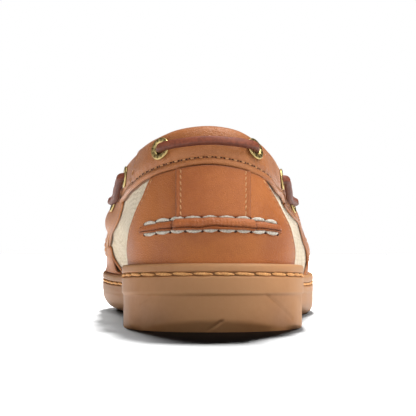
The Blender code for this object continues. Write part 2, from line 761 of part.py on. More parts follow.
def main():
    for old in list(bpy.data.objects):
        bpy.data.objects.remove(old)
    skin = Skin()
    make_outsole()
    make_insole()
    make_upper(skin)
    make_tongue()
    make_counter(skin)
    make_back_tab(skin)
    make_kicker_seam(skin)
    make_collar("collar", skin, COLLAR_LAP, COLLAR_END, 26)
    make_collar("collar_front", skin, -COLLAR_END, COLLAR_LAP - LAP_GAP, 6)
    make_saddles(skin)
    make_apron(skin)
    make_fittings(skin)
    centre_on_floor()


main()
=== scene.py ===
"""A right-foot boat moccasin in tan leather and cream cloth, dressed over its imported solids.

The last is described in millimetres by section rows: s is the distance forward of the heel's back,
medial and lateral are the reach to each side of the heel's centre line. A place on the upper's skin
is a ring place u (0 at the heel's back, positive on the lateral side, 36 at the toe) and a line
number v (0 floor of the cup, 1 rim, 2 bulge, 3 shoulder, 4 top edge).
"""

import logging
import math
from collections.abc import Callable, Iterator, Sequence
from contextlib import contextmanager
from dataclasses import dataclass
from enum import Enum
from typing import NamedTuple

import bpy
import numpy as np
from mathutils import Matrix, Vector


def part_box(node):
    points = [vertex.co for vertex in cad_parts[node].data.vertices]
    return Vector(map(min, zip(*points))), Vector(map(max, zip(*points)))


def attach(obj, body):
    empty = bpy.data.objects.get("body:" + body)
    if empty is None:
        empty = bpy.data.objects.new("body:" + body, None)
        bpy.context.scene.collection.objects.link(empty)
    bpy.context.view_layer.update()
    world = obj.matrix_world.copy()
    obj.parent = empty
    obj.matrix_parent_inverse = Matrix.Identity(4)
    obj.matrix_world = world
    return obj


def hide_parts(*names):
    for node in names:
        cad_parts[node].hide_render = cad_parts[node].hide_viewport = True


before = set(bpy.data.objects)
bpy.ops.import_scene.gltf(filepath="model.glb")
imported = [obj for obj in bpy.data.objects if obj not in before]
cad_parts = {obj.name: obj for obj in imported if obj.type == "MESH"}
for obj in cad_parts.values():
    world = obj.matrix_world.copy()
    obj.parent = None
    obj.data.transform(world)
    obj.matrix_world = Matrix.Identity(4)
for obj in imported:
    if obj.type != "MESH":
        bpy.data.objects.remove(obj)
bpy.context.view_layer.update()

log = logging.getLogger("moccasin")

Array = np.ndarray
Vec = tuple[float, float, float]
Colour = tuple[float, float, float]
Faces = list[tuple[int, ...]]
Socket = bpy.types.NodeSocket

MM = 0.001
LENGTH = 262.0
GAP = 0.35
WALL = 1.6
OVERLAY = 1.3
COUNTER_TOP = GAP + OVERLAY
HALF_TURN = 36
SIDES = (("medial", -1), ("lateral", 1))


class Row(NamedTuple):
    """One section of a ring: its place along the foot, its reach to both sides and its height."""

    s: float
    medial: float
    lateral: float
    z: float = 0.0
    lateral_drop: float = 0.0


def ring_rows(*rows: tuple[float, ...]) -> tuple[Row, ...]:
    """Section rows from plain numbers, heel to toe."""
    return tuple(Row(*row) for row in rows)


STEPS = (3, 3, 3, 2, 2, 2, 2, 2, 2, 2, 2, 3, 2, 3, 3)

SOLE_EDGE = ring_rows(
    (0.0, 0.0, 0.0), (3.5, 15.0, 15.0), (13.0, 26.4, 26.4), (28.0, 32.4, 32.6), (46.0, 33.4, 34.2),
    (68.0, 32.0, 34.4), (92.0, 29.2, 34.6), (116.0, 29.8, 37.4), (140.0, 36.0, 43.0), (163.0, 43.6, 46.8),
    (186.0, 47.4, 47.3), (208.0, 47.2, 44.8), (228.0, 43.2, 38.0), (244.0, 36.0, 27.4), (256.5, 24.4, 11.4),
    (LENGTH, 9.5, -9.5))
BULGE = ring_rows(
    (2.8, 0.3, -0.3, 36.0), (5.8, 13.6, 13.2, 36.0), (14.5, 24.4, 23.8, 36.0), (28.5, 30.0, 29.2, 35.5),
    (46.0, 31.5, 30.6, 35.0), (68.0, 32.6, 31.6, 34.0), (92.0, 35.8, 32.8, 36.5), (116.0, 41.8, 36.6, 38.5),
    (140.0, 41.8, 39.4, 36.0), (163.0, 44.2, 43.2, 30.5), (186.0, 45.4, 45.2, 29.0), (208.0, 44.6, 42.2, 28.5),
    (227.0, 40.4, 35.2, 28.5), (242.0, 33.2, 24.6, 29.0), (253.0, 22.6, 9.8, 29.5), (258.0, 9.3, -9.3, 29.5))
SHOULDER = ring_rows(
    (6.0, 0.9, -0.9, 58.5), (8.6, 12.6, 10.6, 57.1, 0.6), (16.5, 22.4, 18.8, 54.0, 1.2),
    (29.0, 28.0, 22.6, 50.6, 1.4), (45.0, 30.4, 24.8, 49.2, 0.8), (66.0, 32.0, 26.6, 48.4, 0.3),
    (88.0, 34.6, 28.8, 47.0, 0.2), (112.0, 38.0, 33.4, 47.6, 0.2), (137.0, 36.8, 33.6, 47.8),
    (160.0, 34.0, 31.0, 46.6), (182.0, 32.6, 29.8, 44.2), (203.0, 31.2, 27.6, 42.0), (221.0, 28.2, 22.4, 40.4),
    (234.5, 23.0, 14.4, 39.2), (243.5, 15.6, 4.4, 38.6), (247.0, 6.6, -6.6, 38.4))
TOP_EDGE = ring_rows(
    (9.5, 1.5, -1.5, 69.6), (11.5, 11.8, 7.4, 68.5), (18.0, 19.4, 13.6, 65.8, 0.3), (29.5, 24.4, 18.4, 63.2, 0.6),
    (45.0, 27.8, 22.0, 61.2, 0.9), (64.0, 31.2, 25.2, 58.6, 1.2), (83.0, 33.4, 27.8, 55.8, 1.5),
    (99.0, 31.0, 28.0, 58.4, 1.0), (112.0, 26.2, 22.8, 63.6, 0.8), (123.5, 20.8, 18.0, 67.2, 0.2),
    (134.0, 16.8, 14.4, 66.2), (143.5, 14.8, 12.4, 62.8), (150.5, 12.6, 10.4, 60.0), (155.3, 9.2, 7.0, 58.2),
    (158.0, 5.2, 3.0, 57.2), (159.0, 1.0, -1.0, 56.8))
RIM_LINE = ((0.0, 24.2), (46.0, 22.4), (86.0, 19.6), (116.0, 17.6), (145.0, 16.8), (170.0, 17.3),
            (200.0, 18.0), (228.0, 19.2), (248.0, 21.4), (LENGTH, 23.8))


# ---------------------------------------------------------------- curves and the last


def centripetal(p0: Array, p1: Array, p2: Array, p3: Array, t: Array | float) -> Array:
    """Reads a centripetal spline.

    Args:
        p0, p1, p2, p3: four points in a row, each (..., 3).
        t: the share of the stretch from p1 to p2.

    Returns:
        The points at that share.
    """
    def knot(a: Array, b: Array) -> Array:
        """The knot distance between two points."""
        return np.sqrt(np.linalg.norm(b - a, axis=-1, keepdims=True)) + 1e-9

    def mixed(a: Array, b: Array, low: Array | float, high: Array) -> Array:
        """Two points mixed by where the place lies between two knots."""
        return (high - place) / (high - low) * a + (place - low) / (high - low) * b

    k1 = knot(p0, p1)
    k2 = k1 + knot(p1, p2)
    k3 = k2 + knot(p2, p3)
    place = k1 + (k2 - k1) * t
    a1, a2, a3 = mixed(p0, p1, 0.0, k1), mixed(p1, p2, k1, k2), mixed(p2, p3, k2, k3)
    return mixed(mixed(a1, a2, 0.0, k2), mixed(a2, a3, k1, k3), k1, k2)


def run_on(points: Array) -> Array:
    """The points with one more at each end, in line with the last two."""
    return np.concatenate([[2 * points[0] - points[1]], points, [2 * points[-1] - points[-2]]])


def smooth(x: Array | float, knots: Sequence[tuple[float, float]]) -> Array:
    """Reads a smooth curve through (place, value) knots that is level past its ends.

    Args:
        x: the places to read.
        knots: the (place, value) pairs, in order.

    Returns:
        The values there.
    """
    places, values = np.array(knots, dtype=float).T
    slopes = np.gradient(values, places)
    x = np.clip(np.asarray(x, dtype=float), places[0], places[-1])
    i = np.clip(np.searchsorted(places, x, side="right") - 1, 0, len(places) - 2)
    span = places[i + 1] - places[i]
    t = (x - places[i]) / span
    rise = values[i] * (1 - t) ** 2 * (1 + 2 * t) + values[i + 1] * t**2 * (3 - 2 * t)
    return rise + span * t * (1 - t) * (slopes[i] * (1 - t) - slopes[i + 1] * t)


def around(rows: Sequence[Row], u: Array) -> Array:
    """Reads the closed ring through a table of rows.

    Args:
        rows: the section rows from heel to toe.
        u: ring places.

    Returns:
        The points (len(u), 3) in millimetres, with s as the second number.
    """
    outer = [(row.lateral, row.s, row.z - row.lateral_drop) for row in rows]
    inner = [(-row.medial, row.s, row.z) for row in rows[-2:0:-1]]
    points = np.array(outer + inner)
    counts = np.array(STEPS + STEPS[::-1])
    starts = np.concatenate([[0], np.cumsum(counts)])
    u = np.mod(u, starts[-1])
    k = np.clip(np.searchsorted(starts, u, side="right") - 1, 0, len(counts) - 1)
    t = ((u - starts[k]) / counts[k])[:, None]
    return centripetal(*(points[(k + shift) % len(points)] for shift in (-1, 0, 1, 2)), t)


def level_normals(loop: Array) -> Array:
    """Outward level normals of a closed ring of points."""
    along = np.roll(loop, -1, axis=0) - np.roll(loop, 1, axis=0)
    normals = np.stack([along[:, 1], -along[:, 0], np.zeros(len(loop))], axis=1)
    return normals / np.linalg.norm(normals, axis=1, keepdims=True)


def bump(x: Array, centre: float, width: float) -> Array:
    """A soft bell of height 1 at the centre."""
    return np.exp(-(((x - centre) / width) ** 2))


def near(s: Array, centre: float, reach: float) -> Array:
    """1 at the centre, falling smoothly to 0 at the reach on both sides."""
    return np.cos(np.clip((s - centre) / reach, -1.0, 1.0) * math.pi / 2) ** 2


def rounded(distance: Array, radius: float) -> Array:
    """Rises from 0 at an edge to 1 at the radius, as a quarter circle does."""
    share = np.clip(distance / radius, 0.0, 1.0)
    return np.sqrt(np.clip(1.0 - (1.0 - share) ** 2, 0.0, 1.0))


def wander(x: Array, seed: float) -> Array:
    """A slow, irregular wave between about -1 and 1 that never repeats in step."""
    return (np.sin(x * 0.83 + seed) + np.sin(x * 1.37 + 2.1 * seed) + np.sin(x * 2.23 + 3.7 * seed)) / 3


def unit(vectors: Array) -> Array:
    """The vectors at length 1."""
    return vectors / np.maximum(np.linalg.norm(vectors, axis=-1, keepdims=True), 1e-12)


def runs_along(path: Array) -> Array:
    """How far along a path each of its points is."""
    return np.concatenate([[0.0], np.cumsum(np.linalg.norm(np.diff(path, axis=0), axis=1))])


def spaced(path: Array, pitch: float, inset: float = 0.5) -> tuple[Array, Array]:
    """Even places along a path.

    Args:
        path: (n, 3) points.
        pitch: the distance between places.
        inset: the share of a pitch before the first place.

    Returns:
        The fractional indices into the path, and the true pitch.
    """
    run = runs_along(path)
    count = max(1, int(round(run[-1] / pitch - 2 * inset + 1)))
    step = run[-1] / (count - 1 + 2 * inset)
    return np.interp((np.arange(count) + inset) * step, run, np.arange(len(path))), np.array(step)


def read_path(values: Array, index: Array) -> Array:
    """Reads rows of values at fractional indices."""
    low = np.clip(np.floor(index).astype(int), 0, len(values) - 2)
    share = (index - low)[:, None]
    return values[low] * (1 - share) + values[low + 1] * share


@dataclass(frozen=True)
class Ground:
    """The sole's underside and rim along the foot, in millimetres."""

    arch_rise: float = 2.6
    arch_back: float = 86.0
    arch_front: float = 148.0
    toe_spring: float = 9.5
    toe_start: float = 204.0
    toe_curve: float = 1.7
    cup_depth: float = 7.0
    rim_width: float = 3.2

    def low(self, s: Array) -> Array:
        """The height of the underside at s."""
        arch = np.clip((s - self.arch_back) / (self.arch_front - self.arch_back), 0.0, 1.0)
        toe = np.clip((s - self.toe_start) / (LENGTH - self.toe_start), 0.0, 1.0)
        return self.arch_rise * np.sin(math.pi * arch) ** 2 + self.toe_spring * toe**self.toe_curve

    def top(self, s: Array) -> Array:
        """The height of the rim at s."""
        return smooth(s, RIM_LINE)


class Skin:
    """The upper's outer surface as a fine table of points and normals, read at any place."""

    fine: int = 8
    lines: int = 160
    rim_lift: float = 0.5
    search: int = 1400
    margin: float = 0.05

    def __init__(self, ground: Ground) -> None:
        """Fills the table.

        Args:
            ground: the sole that the upper stands in.
        """
        self.count = 2 * HALF_TURN * self.fine
        u = np.arange(self.count) / self.fine
        edge = around(SOLE_EDGE, u)
        low = edge - level_normals(edge) * (ground.rim_width + GAP)
        foot, rim = low.copy(), low.copy()
        foot[:, 2] = ground.top(edge[:, 1]) - ground.cup_depth + GAP
        rim[:, 2] = ground.top(edge[:, 1]) + self.rim_lift
        drawn = run_on(np.array([foot, rim, *(around(rows, u) for rows in (BULGE, SHOULDER, TOP_EDGE))]))
        table = []
        for v in np.linspace(0.0, 4.0, self.lines + 1):
            k = min(int(v), 3)
            table.append(centripetal(*drawn[k:k + 4], v - k))
        self.points = np.array(table)
        along = np.roll(self.points, -1, axis=1) - np.roll(self.points, 1, axis=1)
        up = np.gradient(self.points, axis=0)
        self.normals = unit(np.cross(along, up))
        self.ups = unit(up)
        steps = np.linalg.norm(np.diff(self.points, axis=0), axis=2)
        self.heights = np.concatenate([np.zeros((1, self.count)), np.cumsum(steps, axis=0)])
        middle = self.points[self.lines // 2]
        self.runs = runs_along(np.concatenate([middle, middle[:1]]))

    def read(self, table: Array, u: Array, v: Array) -> Array:
        """Reads a table of the skin between its points.

        Args:
            table: one of the skin's tables.
            u: ring places.
            v: line numbers, of the same shape.

        Returns:
            The values, with the shape of u and any last axis of the table.
        """
        a = np.mod(np.asarray(u, dtype=float) * self.fine, self.count)
        b = np.clip(np.asarray(v, dtype=float) / 4 * self.lines, 0.0, self.lines - 1e-6)
        i, j = a.astype(int) % self.count, b.astype(int)
        k = (i + 1) % self.count
        s, t = a - np.floor(a), b - j
        if table.ndim == 3:
            s, t = s[..., None], t[..., None]
        low, high = (table[row, i] * (1 - s) + table[row, k] * s for row in (j, j + 1))
        return low * (1 - t) + high * t

    def at(self, u: Array | float, v: Array | float, lift: Array | float = 0.0, rise: Array | float = 0.0) -> Array:
        """Points off the skin.

        Args:
            u: ring places.
            v: line numbers.
            lift: the distance along the outward normal.
            rise: the distance along the skin's own upward direction.

        Returns:
            The points, (..., 3) in millimetres.
        """
        u, v = np.broadcast_arrays(np.asarray(u, dtype=float), np.asarray(v, dtype=float))
        lift, rise = (np.broadcast_to(np.asarray(way, dtype=float), u.shape)[..., None] for way in (lift, rise))
        return self.read(self.points, u, v) + self.out(u, v) * lift + unit(self.read(self.ups, u, v)) * rise

    def spot(self, u: float, v: float, lift: float) -> Array:
        """One point off the skin."""
        return self.at(np.array([u]), np.array([v]), lift)[0]

    def out(self, u: Array, v: Array) -> Array:
        """Outward normals at places of the skin."""
        return unit(self.read(self.normals, u, v))

    def cloth_place(self, u: Array, v: Array) -> Array:
        """The flat place (around, up) in millimetres of places on the skin, for patterns."""
        u = np.asarray(u, dtype=float)
        around_run = np.interp(np.abs(u) * self.fine, np.arange(self.count + 1), self.runs) * np.sign(u)
        return np.stack([around_run, self.read(self.heights, u, v)], axis=-1)

    def run_at(self, u: Array, v: float = 2.0) -> Array:
        """How far round the skin ring places are, in millimetres."""
        return self.cloth_place(u, np.full(len(u), v))[:, 0]

    def edge_at(self, outline: Sequence[tuple[float, float]], v: Array, side: int) -> Array:
        """Where a side outline crosses each line of the skin.

        Args:
            outline: (z, s) knots of the outline, by rising z.
            v: line numbers.
            side: 1 for lateral, -1 for medial.

        Returns:
            The ring place on each line, with the side's sign.
        """
        u = np.linspace(self.margin, HALF_TURN - self.margin, self.search) * side
        found = []
        for line in v:
            points = self.at(u, line)
            past = points[:, 1] - smooth(points[:, 2], outline)
            k = int(np.argmax(past > 0))
            share = -past[k - 1] / (past[k] - past[k - 1]) if k else 0.0
            found.append(u[max(k - 1, 0)] + share * (u[1] - u[0]))
        return np.array(found)

    def lines_at(self, u: Sequence[float], heights: Sequence[float], fine: Array) -> Array:
        """The lines where the skin has a height.

        Args:
            u: ring places.
            heights: the height wanted at each, in millimetres.
            fine: the line numbers to look between.

        Returns:
            A line number for each ring place.
        """
        return np.array([np.interp(height, self.at(place, fine)[:, 2], fine) for place, height in zip(u, heights)])


class Placing:
    """Turns the last's millimetres into the frame's metres."""

    def __init__(self) -> None:
        """Reads the outsole's box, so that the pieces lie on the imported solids."""
        low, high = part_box("outsole")
        edge = around(SOLE_EDGE, np.arange(2.0 * HALF_TURN))
        x = (low[0] + high[0]) / 2 - (edge[:, 0].max() + edge[:, 0].min()) / 2 * MM
        self.shift = np.array([x, low[1], 0.0])

    def metres(self, points: Array) -> Array:
        """Frame positions of points on the last."""
        return points * MM + self.shift


# ---------------------------------------------------------------- modelling tools


def deselect() -> None:
    """Leaves object mode with nothing selected."""
    if bpy.context.mode != "OBJECT":
        bpy.ops.object.mode_set(mode="OBJECT")
    bpy.ops.object.select_all(action="DESELECT")


def pick(obj: bpy.types.Object) -> None:
    """Selects one object alone and makes it active."""
    deselect()
    obj.select_set(True)
    bpy.context.view_layer.objects.active = obj


@contextmanager
def editing() -> Iterator[None]:
    """Edit mode for the active object, with everything selected."""
    bpy.ops.object.mode_set(mode="EDIT")
    bpy.ops.mesh.select_all(action="SELECT")
    yield
    bpy.ops.object.mode_set(mode="OBJECT")


def merge(obj: bpy.types.Object, distance: float = 2e-6) -> None:
    """Joins points that coincide and turns the faces outwards."""
    pick(obj)
    with editing():
        bpy.ops.mesh.remove_doubles(threshold=distance)
        bpy.ops.mesh.normals_make_consistent(inside=False)


def weld(obj: bpy.types.Object, other: bpy.types.Object) -> None:
    """Takes another object into this one and joins them where they meet."""
    pick(obj)
    other.select_set(True)
    bpy.ops.object.join()
    merge(obj)


def cap(obj: bpy.types.Object) -> None:
    """Closes an object's open ends."""
    pick(obj)
    with editing():
        bpy.ops.mesh.fill_holes(sides=0)
        bpy.ops.mesh.normals_make_consistent(inside=False)


def soften(obj: bpy.types.Object, degrees: float = 50.0) -> None:
    """Smooth shading, with edges kept past an angle."""
    pick(obj)
    bpy.ops.object.shade_smooth_by_angle(angle=math.radians(degrees))


def thicken(obj: bpy.types.Object, thickness: float) -> None:
    """Gives a sheet its thickness, inwards, with an applied Solidify."""
    pick(obj)
    bpy.ops.object.modifier_add(type="SOLIDIFY")
    modifier = obj.modifiers[-1]
    modifier.thickness = thickness
    modifier.offset = -1.0
    bpy.ops.object.modifier_apply(modifier=modifier.name)


def set_values(obj: bpy.types.Object, name: str, values: Array) -> None:
    """Stores one number a point as an attribute for the finishes."""
    attribute = obj.data.attributes.get(name) or obj.data.attributes.new(name, "FLOAT", "POINT")
    attribute.data.foreach_set("value", np.asarray(values, np.float32).ravel())


def laid_grid(name: str, points: Array, flat: Array | None = None) -> bpy.types.Object:
    """Adds a flat grid and lays its points on a form.

    Args:
        name: the piece's name.
        points: (rows, columns, 3) frame positions in metres.
        flat: (rows, columns, 2) flat places for the UV map, in metres.

    Returns:
        The new object, at the origin.
    """
    rows, columns = points.shape[:2]
    deselect()
    bpy.ops.mesh.primitive_grid_add(x_subdivisions=columns - 1, y_subdivisions=rows - 1, size=1.0)
    obj = bpy.context.object
    obj.name = obj.data.name = name
    obj.data.vertices.foreach_set("co", points.astype(np.float32).ravel())
    if flat is not None:
        corners = np.zeros(len(obj.data.loops), np.int32)
        obj.data.loops.foreach_get("vertex_index", corners)
        places = flat.reshape(-1, 2)[corners].astype(np.float32)
        obj.data.uv_layers[0].data.foreach_set("uv", places.ravel())
    obj.data.update()
    return obj


def body_from(name: str, points: Array, faces: Sequence[Sequence[int]]) -> bpy.types.Object:
    """A mesh object from points in metres and faces."""
    mesh = bpy.data.meshes.new(name)
    mesh.from_pydata([tuple(point) for point in points], [], [tuple(face) for face in faces])
    mesh.update()
    obj = bpy.data.objects.new(name, mesh)
    bpy.context.scene.collection.objects.link(obj)
    return obj


def taken_apart(obj: bpy.types.Object) -> tuple[Array, Faces]:
    """An object's points and faces. The object itself is removed."""
    points = np.array([vertex.co for vertex in obj.data.vertices])
    faces = [tuple(face.vertices) for face in obj.data.polygons]
    bpy.data.objects.remove(obj)
    return points, faces


def tube(name: str, path: Array, section: Array, up: Array, end_share: float = 0.55) -> bpy.types.Object:
    """A cord swept along a path, closed at both ends.

    Args:
        name: the piece's name.
        path: (n, 3) points in metres.
        section: (m, 2) closed outline in metres, across and up.
        up: (n, 3) directions that the outline's second axis leans towards.
        end_share: the size of the ring inside each end, over the section's.

    Returns:
        The cord.
    """
    along = unit(np.gradient(path, axis=0))
    side = unit(np.cross(along, up))
    top = np.cross(side, along)
    loop = np.concatenate([section, section[:1]])
    rings = path[:, None] + side[:, None] * loop[None, :, :1] + top[:, None] * loop[None, :, 1:]
    middle = rings[:, :-1].mean(axis=1, keepdims=True)
    points, run = [rings], runs_along(path)
    for end in (slice(0, 1), slice(-1, None)):
        tip = np.repeat(middle[end], len(loop), axis=1)
        inner = (1 - end_share) * middle[end] + end_share * rings[end]
        points = [tip, inner, *points] if end.start == 0 else [*points, inner, tip]
    run = np.concatenate([[0, 0], run, run[-1:], run[-1:]])
    flat = np.stack(np.meshgrid(np.arange(len(loop)) * MM, run), axis=-1)
    obj = laid_grid(name, np.concatenate(points), flat)
    merge(obj)
    soften(obj)
    return obj


def round_section(radius: float, count: int, square: float, flat: float = 1.0) -> Array:
    """A closed outline between a circle and a rounded square.

    Args:
        radius: half the width.
        count: the number of points.
        square: 1 for a circle, higher for squarer corners.
        flat: the height over the width.

    Returns:
        The outline's points, (count, 2).
    """
    turn = np.arange(count) / count * math.tau
    x, y = (np.sign(wave) * np.abs(wave) ** (1 / square) for wave in (np.cos(turn), np.sin(turn)))
    return np.stack([x, y * flat], axis=1) * radius


class StitchForm(Enum):
    """The shapes a stitch is sewn in, each with how bluntly it ends."""

    MACHINE = 5.0
    WELT = 2.6
    CORD = 2.4
    HOLE = 2.0


class Needle:
    """Models each form of stitch once and sews rows of copies."""

    segments: int = 10
    short_rings: int = 7
    long_rings: int = 12
    end_fall: float = 0.55
    twist: float = 0.10
    unevenness: float = 0.06

    def __init__(self) -> None:
        """Models the four forms from spheres."""
        self.forms = {form: self.model(form) for form in StitchForm}

    def model(self, form: StitchForm) -> tuple[Array, Faces]:
        """Shapes one stitch with half length, width and height of 1.

        Args:
            form: which stitch.

        Returns:
            Its points and faces.
        """
        deselect()
        long = form in (StitchForm.CORD, StitchForm.WELT)
        rings = self.long_rings if long else self.short_rings
        bpy.ops.mesh.primitive_uv_sphere_add(segments=self.segments, ring_count=rings, radius=1.0)
        with editing():
            bpy.ops.transform.rotate(value=math.pi / 2, orient_axis="Y", center_override=(0.0, 0.0, 0.0))
        points, faces = taken_apart(bpy.context.object)
        x = np.clip(points[:, 0], -1, 1)
        girth = np.sqrt(np.maximum(1 - x**2, 1e-9))
        full = (1 - np.abs(x) ** form.value) ** 0.5
        points[:, 1:] *= (full / girth)[:, None]
        if form is not StitchForm.HOLE:
            points[:, 2] -= self.end_fall * x**4
        if long:
            twist = self.twist * np.sin(9.0 * x + 2.0 * np.arctan2(points[:, 2], points[:, 1]))
            points[:, 1:] *= (1 + twist * (1 - x**2))[:, None]
        return points, faces

    def sew(self, name: str, form: StitchForm, row: tuple[Array, Array, Array], size: Vec,
            slant: float = 0.0, bend: float = 0.0) -> bpy.types.Object:
        """Sews a row of stitches as one piece.

        Args:
            name: the row's name.
            form: which stitch.
            row: the stitches' places in metres, directions and outward normals, each (n, 3).
            size: half length, half width and half height in metres.
            slant: the turn of each stitch out of the row, in radians.
            bend: how far each stitch's ends fall to its side, in metres.

        Returns:
            The row.
        """
        shape, faces = self.forms[form]
        centres, along, normals = row
        along = unit(along - normals * np.sum(along * normals, axis=1, keepdims=True))
        turned = along * math.cos(slant) + np.cross(normals, along) * math.sin(slant)
        across = np.cross(normals, turned)
        drawn = []
        for k, centre in enumerate(centres):
            wave = 1 + self.unevenness * math.sin(2.7 * k)
            x, y, z = shape[:, 0] * size[0] * wave, shape[:, 1] * size[1], shape[:, 2] * size[2]
            y = y - bend * shape[:, 0] ** 2
            drawn.append(centre + turned[k] * x[:, None] + across[k] * y[:, None] + normals[k] * z[:, None])
        count = len(shape)
        joined = [tuple(v + k * count for v in face) for k in range(len(centres)) for face in faces]
        obj = body_from(name, np.concatenate(drawn), joined)
        soften(obj, 80.0)
        return obj


# ---------------------------------------------------------------- finishes


def tone(red: int, green: int, blue: int) -> Colour:
    """A linear colour from display values of 0 to 255."""
    def linear(value: int) -> float:
        """One channel made linear."""
        share = value / 255
        return share / 12.92 if share <= 0.04045 else ((share + 0.055) / 1.055) ** 2.4

    return linear(red), linear(green), linear(blue)


def dimmed(colour: Colour, share: float) -> Colour:
    """A darker shade of a colour."""
    return tuple(share * channel for channel in colour)


class Tree:
    """Short ways to add and join the nodes of a shader tree."""

    def __init__(self, tree: bpy.types.NodeTree) -> None:
        """Keeps the tree."""
        self.tree = tree

    def put(self, socket: Socket, value: object) -> None:
        """Gives an input its value, or links it to the socket that the value comes from."""
        if isinstance(value, Socket):
            self.tree.links.new(value, socket)
        else:
            socket.default_value = value

    def add(self, kind: str, inputs: dict[str | int, object] | None = None, **settings: object) -> bpy.types.Node:
        """Adds a node.

        Args:
            kind: the node's type, without its first words.
            inputs: its inputs by name or number, each a socket or a plain value.
            **settings: the node's own properties.

        Returns:
            The node.
        """
        node = self.tree.nodes.new(f"ShaderNode{kind}")
        for key, value in settings.items():
            setattr(node, key, value)
        for key, value in (inputs or {}).items():
            self.put(node.inputs[key], value)
        return node

    def math(self, operation: str, *values: object) -> Socket:
        """A Math node's result."""
        return self.add("Math", dict(enumerate(values)), operation=operation).outputs[0]

    def vector(self, operation: str, inputs: dict[str | int, object]) -> Socket:
        """A Vector Math node's result."""
        return self.add("VectorMath", inputs, operation=operation).outputs[0]

    def blend(self, share: object, a: object, b: object) -> Socket:
        """The mix of two colours."""
        a, b = ((*value, 1.0) if isinstance(value, tuple) else value for value in (a, b))
        return self.add("Mix", {0: share, 6: a, 7: b}, data_type="RGBA").outputs[2]

    def tint(self, colour: object, mask: Socket, share: float, other: object) -> Socket:
        """A colour moved towards another by a share of a mask."""
        return self.blend(self.math("MULTIPLY", mask, share), colour, other)

    def span(self, value: Socket, low: float, high: float, to_low: float = 0.0, to_high: float = 1.0) -> Socket:
        """A value mapped smoothly from one range to another."""
        inputs = {"Value": value, "From Min": low, "From Max": high, "To Min": to_low, "To Max": to_high}
        return self.add("MapRange", inputs, interpolation_type="SMOOTHSTEP").outputs[0]

    def noise(self, place: Socket, scale: object, detail: float, **more: float) -> bpy.types.Node:
        """A Noise Texture node."""
        return self.add("TexNoise", {"Vector": place, "Scale": scale, "Detail": detail, **more})

    def drifted(self, place: Socket, scale: object, detail: float, reach: float) -> Socket:
        """A place shifted a little by noise."""
        drift = self.noise(place, scale, detail)
        return self.vector("ADD", {0: place, 1: self.vector("SCALE", {0: drift.outputs["Color"], "Scale": reach})})


class Effect(Tree):
    """A node group that takes a place and one number, and gives masks or heights."""

    def __init__(self, name: str, number: str, *gives: str) -> None:
        """Starts the group.

        Args:
            name: the effect's name.
            number: the name of its number.
            *gives: the names of its outputs.
        """
        super().__init__(bpy.data.node_groups.new(name, "ShaderNodeTree"))
        sockets = self.tree.interface
        sockets.new_socket("Vector", in_out="INPUT", socket_type="NodeSocketVector")
        sockets.new_socket(number, in_out="INPUT", socket_type="NodeSocketFloat")
        for label in gives:
            sockets.new_socket(label, in_out="OUTPUT", socket_type="NodeSocketFloat")
        start = self.tree.nodes.new("NodeGroupInput")
        self.end = self.tree.nodes.new("NodeGroupOutput")
        self.place, self.number = start.outputs[0], start.outputs[1]

    def give(self, *values: Socket) -> bpy.types.NodeTree:
        """Joins the outputs, in order, and hands over the group."""
        for k, value in enumerate(values):
            self.put(self.end.inputs[k], value)
        return self.tree


class Effects:
    """The node groups that more than one finish uses."""

    def __init__(self) -> None:
        """Builds each group once."""
        self.grain = self.build_grain()
        self.cloud = self.build_cloud()
        self.weave = self.build_weave()
        self.twist = self.build_twist()

    def build_grain(self) -> bpy.types.NodeTree:
        """Pebbled leather grain: cells with fine creases between them."""
        grain = Effect("grain", "Cells", "Height", "Crease")
        moved = grain.drifted(grain.place, grain.number, 1.0, 0.00035)
        cell = grain.add("TexVoronoi", {"Vector": moved, "Scale": grain.number}, feature="DISTANCE_TO_EDGE")
        crease = grain.span(cell.outputs["Distance"], 0.0, 0.16, 1.0, 0.0)
        fine = grain.noise(grain.place, grain.math("MULTIPLY", grain.number, 3.1), 2.0)
        dome = grain.span(cell.outputs["Distance"], 0.0, 0.45)
        return grain.give(grain.math("MULTIPLY_ADD", fine.outputs["Fac"], 0.45, dome), crease)

    def build_cloud(self) -> bpy.types.NodeTree:
        """Slow colour changes, as hide and rubber have, with small specks in them."""
        cloud = Effect("cloud", "Scale", "Slow", "Specks")
        slow = cloud.noise(cloud.place, cloud.number, 4.0, Roughness=0.55)
        fine = cloud.noise(cloud.place, cloud.math("MULTIPLY", cloud.number, 18.0), 2.0)
        return cloud.give(cloud.span(slow.outputs["Fac"], 0.3, 0.7), cloud.span(fine.outputs["Fac"], 0.35, 0.68))

    def build_weave(self) -> bpy.types.NodeTree:
        """A plain weave of thick, uneven yarns on a flat place given in metres."""
        weave = Effect("weave", "Yarns", "Height", "Gap", "Yarn")
        moved = weave.drifted(weave.place, 420.0, 2.0, 0.0022)
        scaled = weave.vector("SCALE", {0: moved, "Scale": weave.number})
        x, y, _ = weave.add("SeparateXYZ", {0: scaled}).outputs
        across, up = (weave.math("SINE", weave.math("MULTIPLY", weave.math("FRACT", axis), math.pi))
                      for axis in (x, y))
        whole = weave.math("ADD", weave.math("FLOOR", x), weave.math("FLOOR", y))
        turn = weave.math("MODULO", weave.math("ABSOLUTE", whole), 2.0)
        over = weave.math("MULTIPLY_ADD", turn, 0.5, 0.5)
        under = weave.math("SUBTRACT", 1.5, over)
        height = weave.math("MAXIMUM", weave.math("MULTIPLY", across, over), weave.math("MULTIPLY", up, under))
        stretched = weave.add("Mapping", {"Vector": scaled, "Scale": (0.9, 0.12, 1.0)})
        slub = weave.noise(stretched.outputs[0], 1.0, 2.0)
        return weave.give(height, weave.span(height, 0.2, 0.75, 1.0, 0.0), slub.outputs["Fac"])

    def build_twist(self) -> bpy.types.NodeTree:
        """Fine fibres and streaks for cords and threads."""
        twist = Effect("twist", "Scale", "Height", "Streak")
        fibres = twist.noise(twist.place, twist.number, 3.0, Roughness=0.65).outputs["Fac"]
        return twist.give(fibres, twist.span(fibres, 0.35, 0.65))


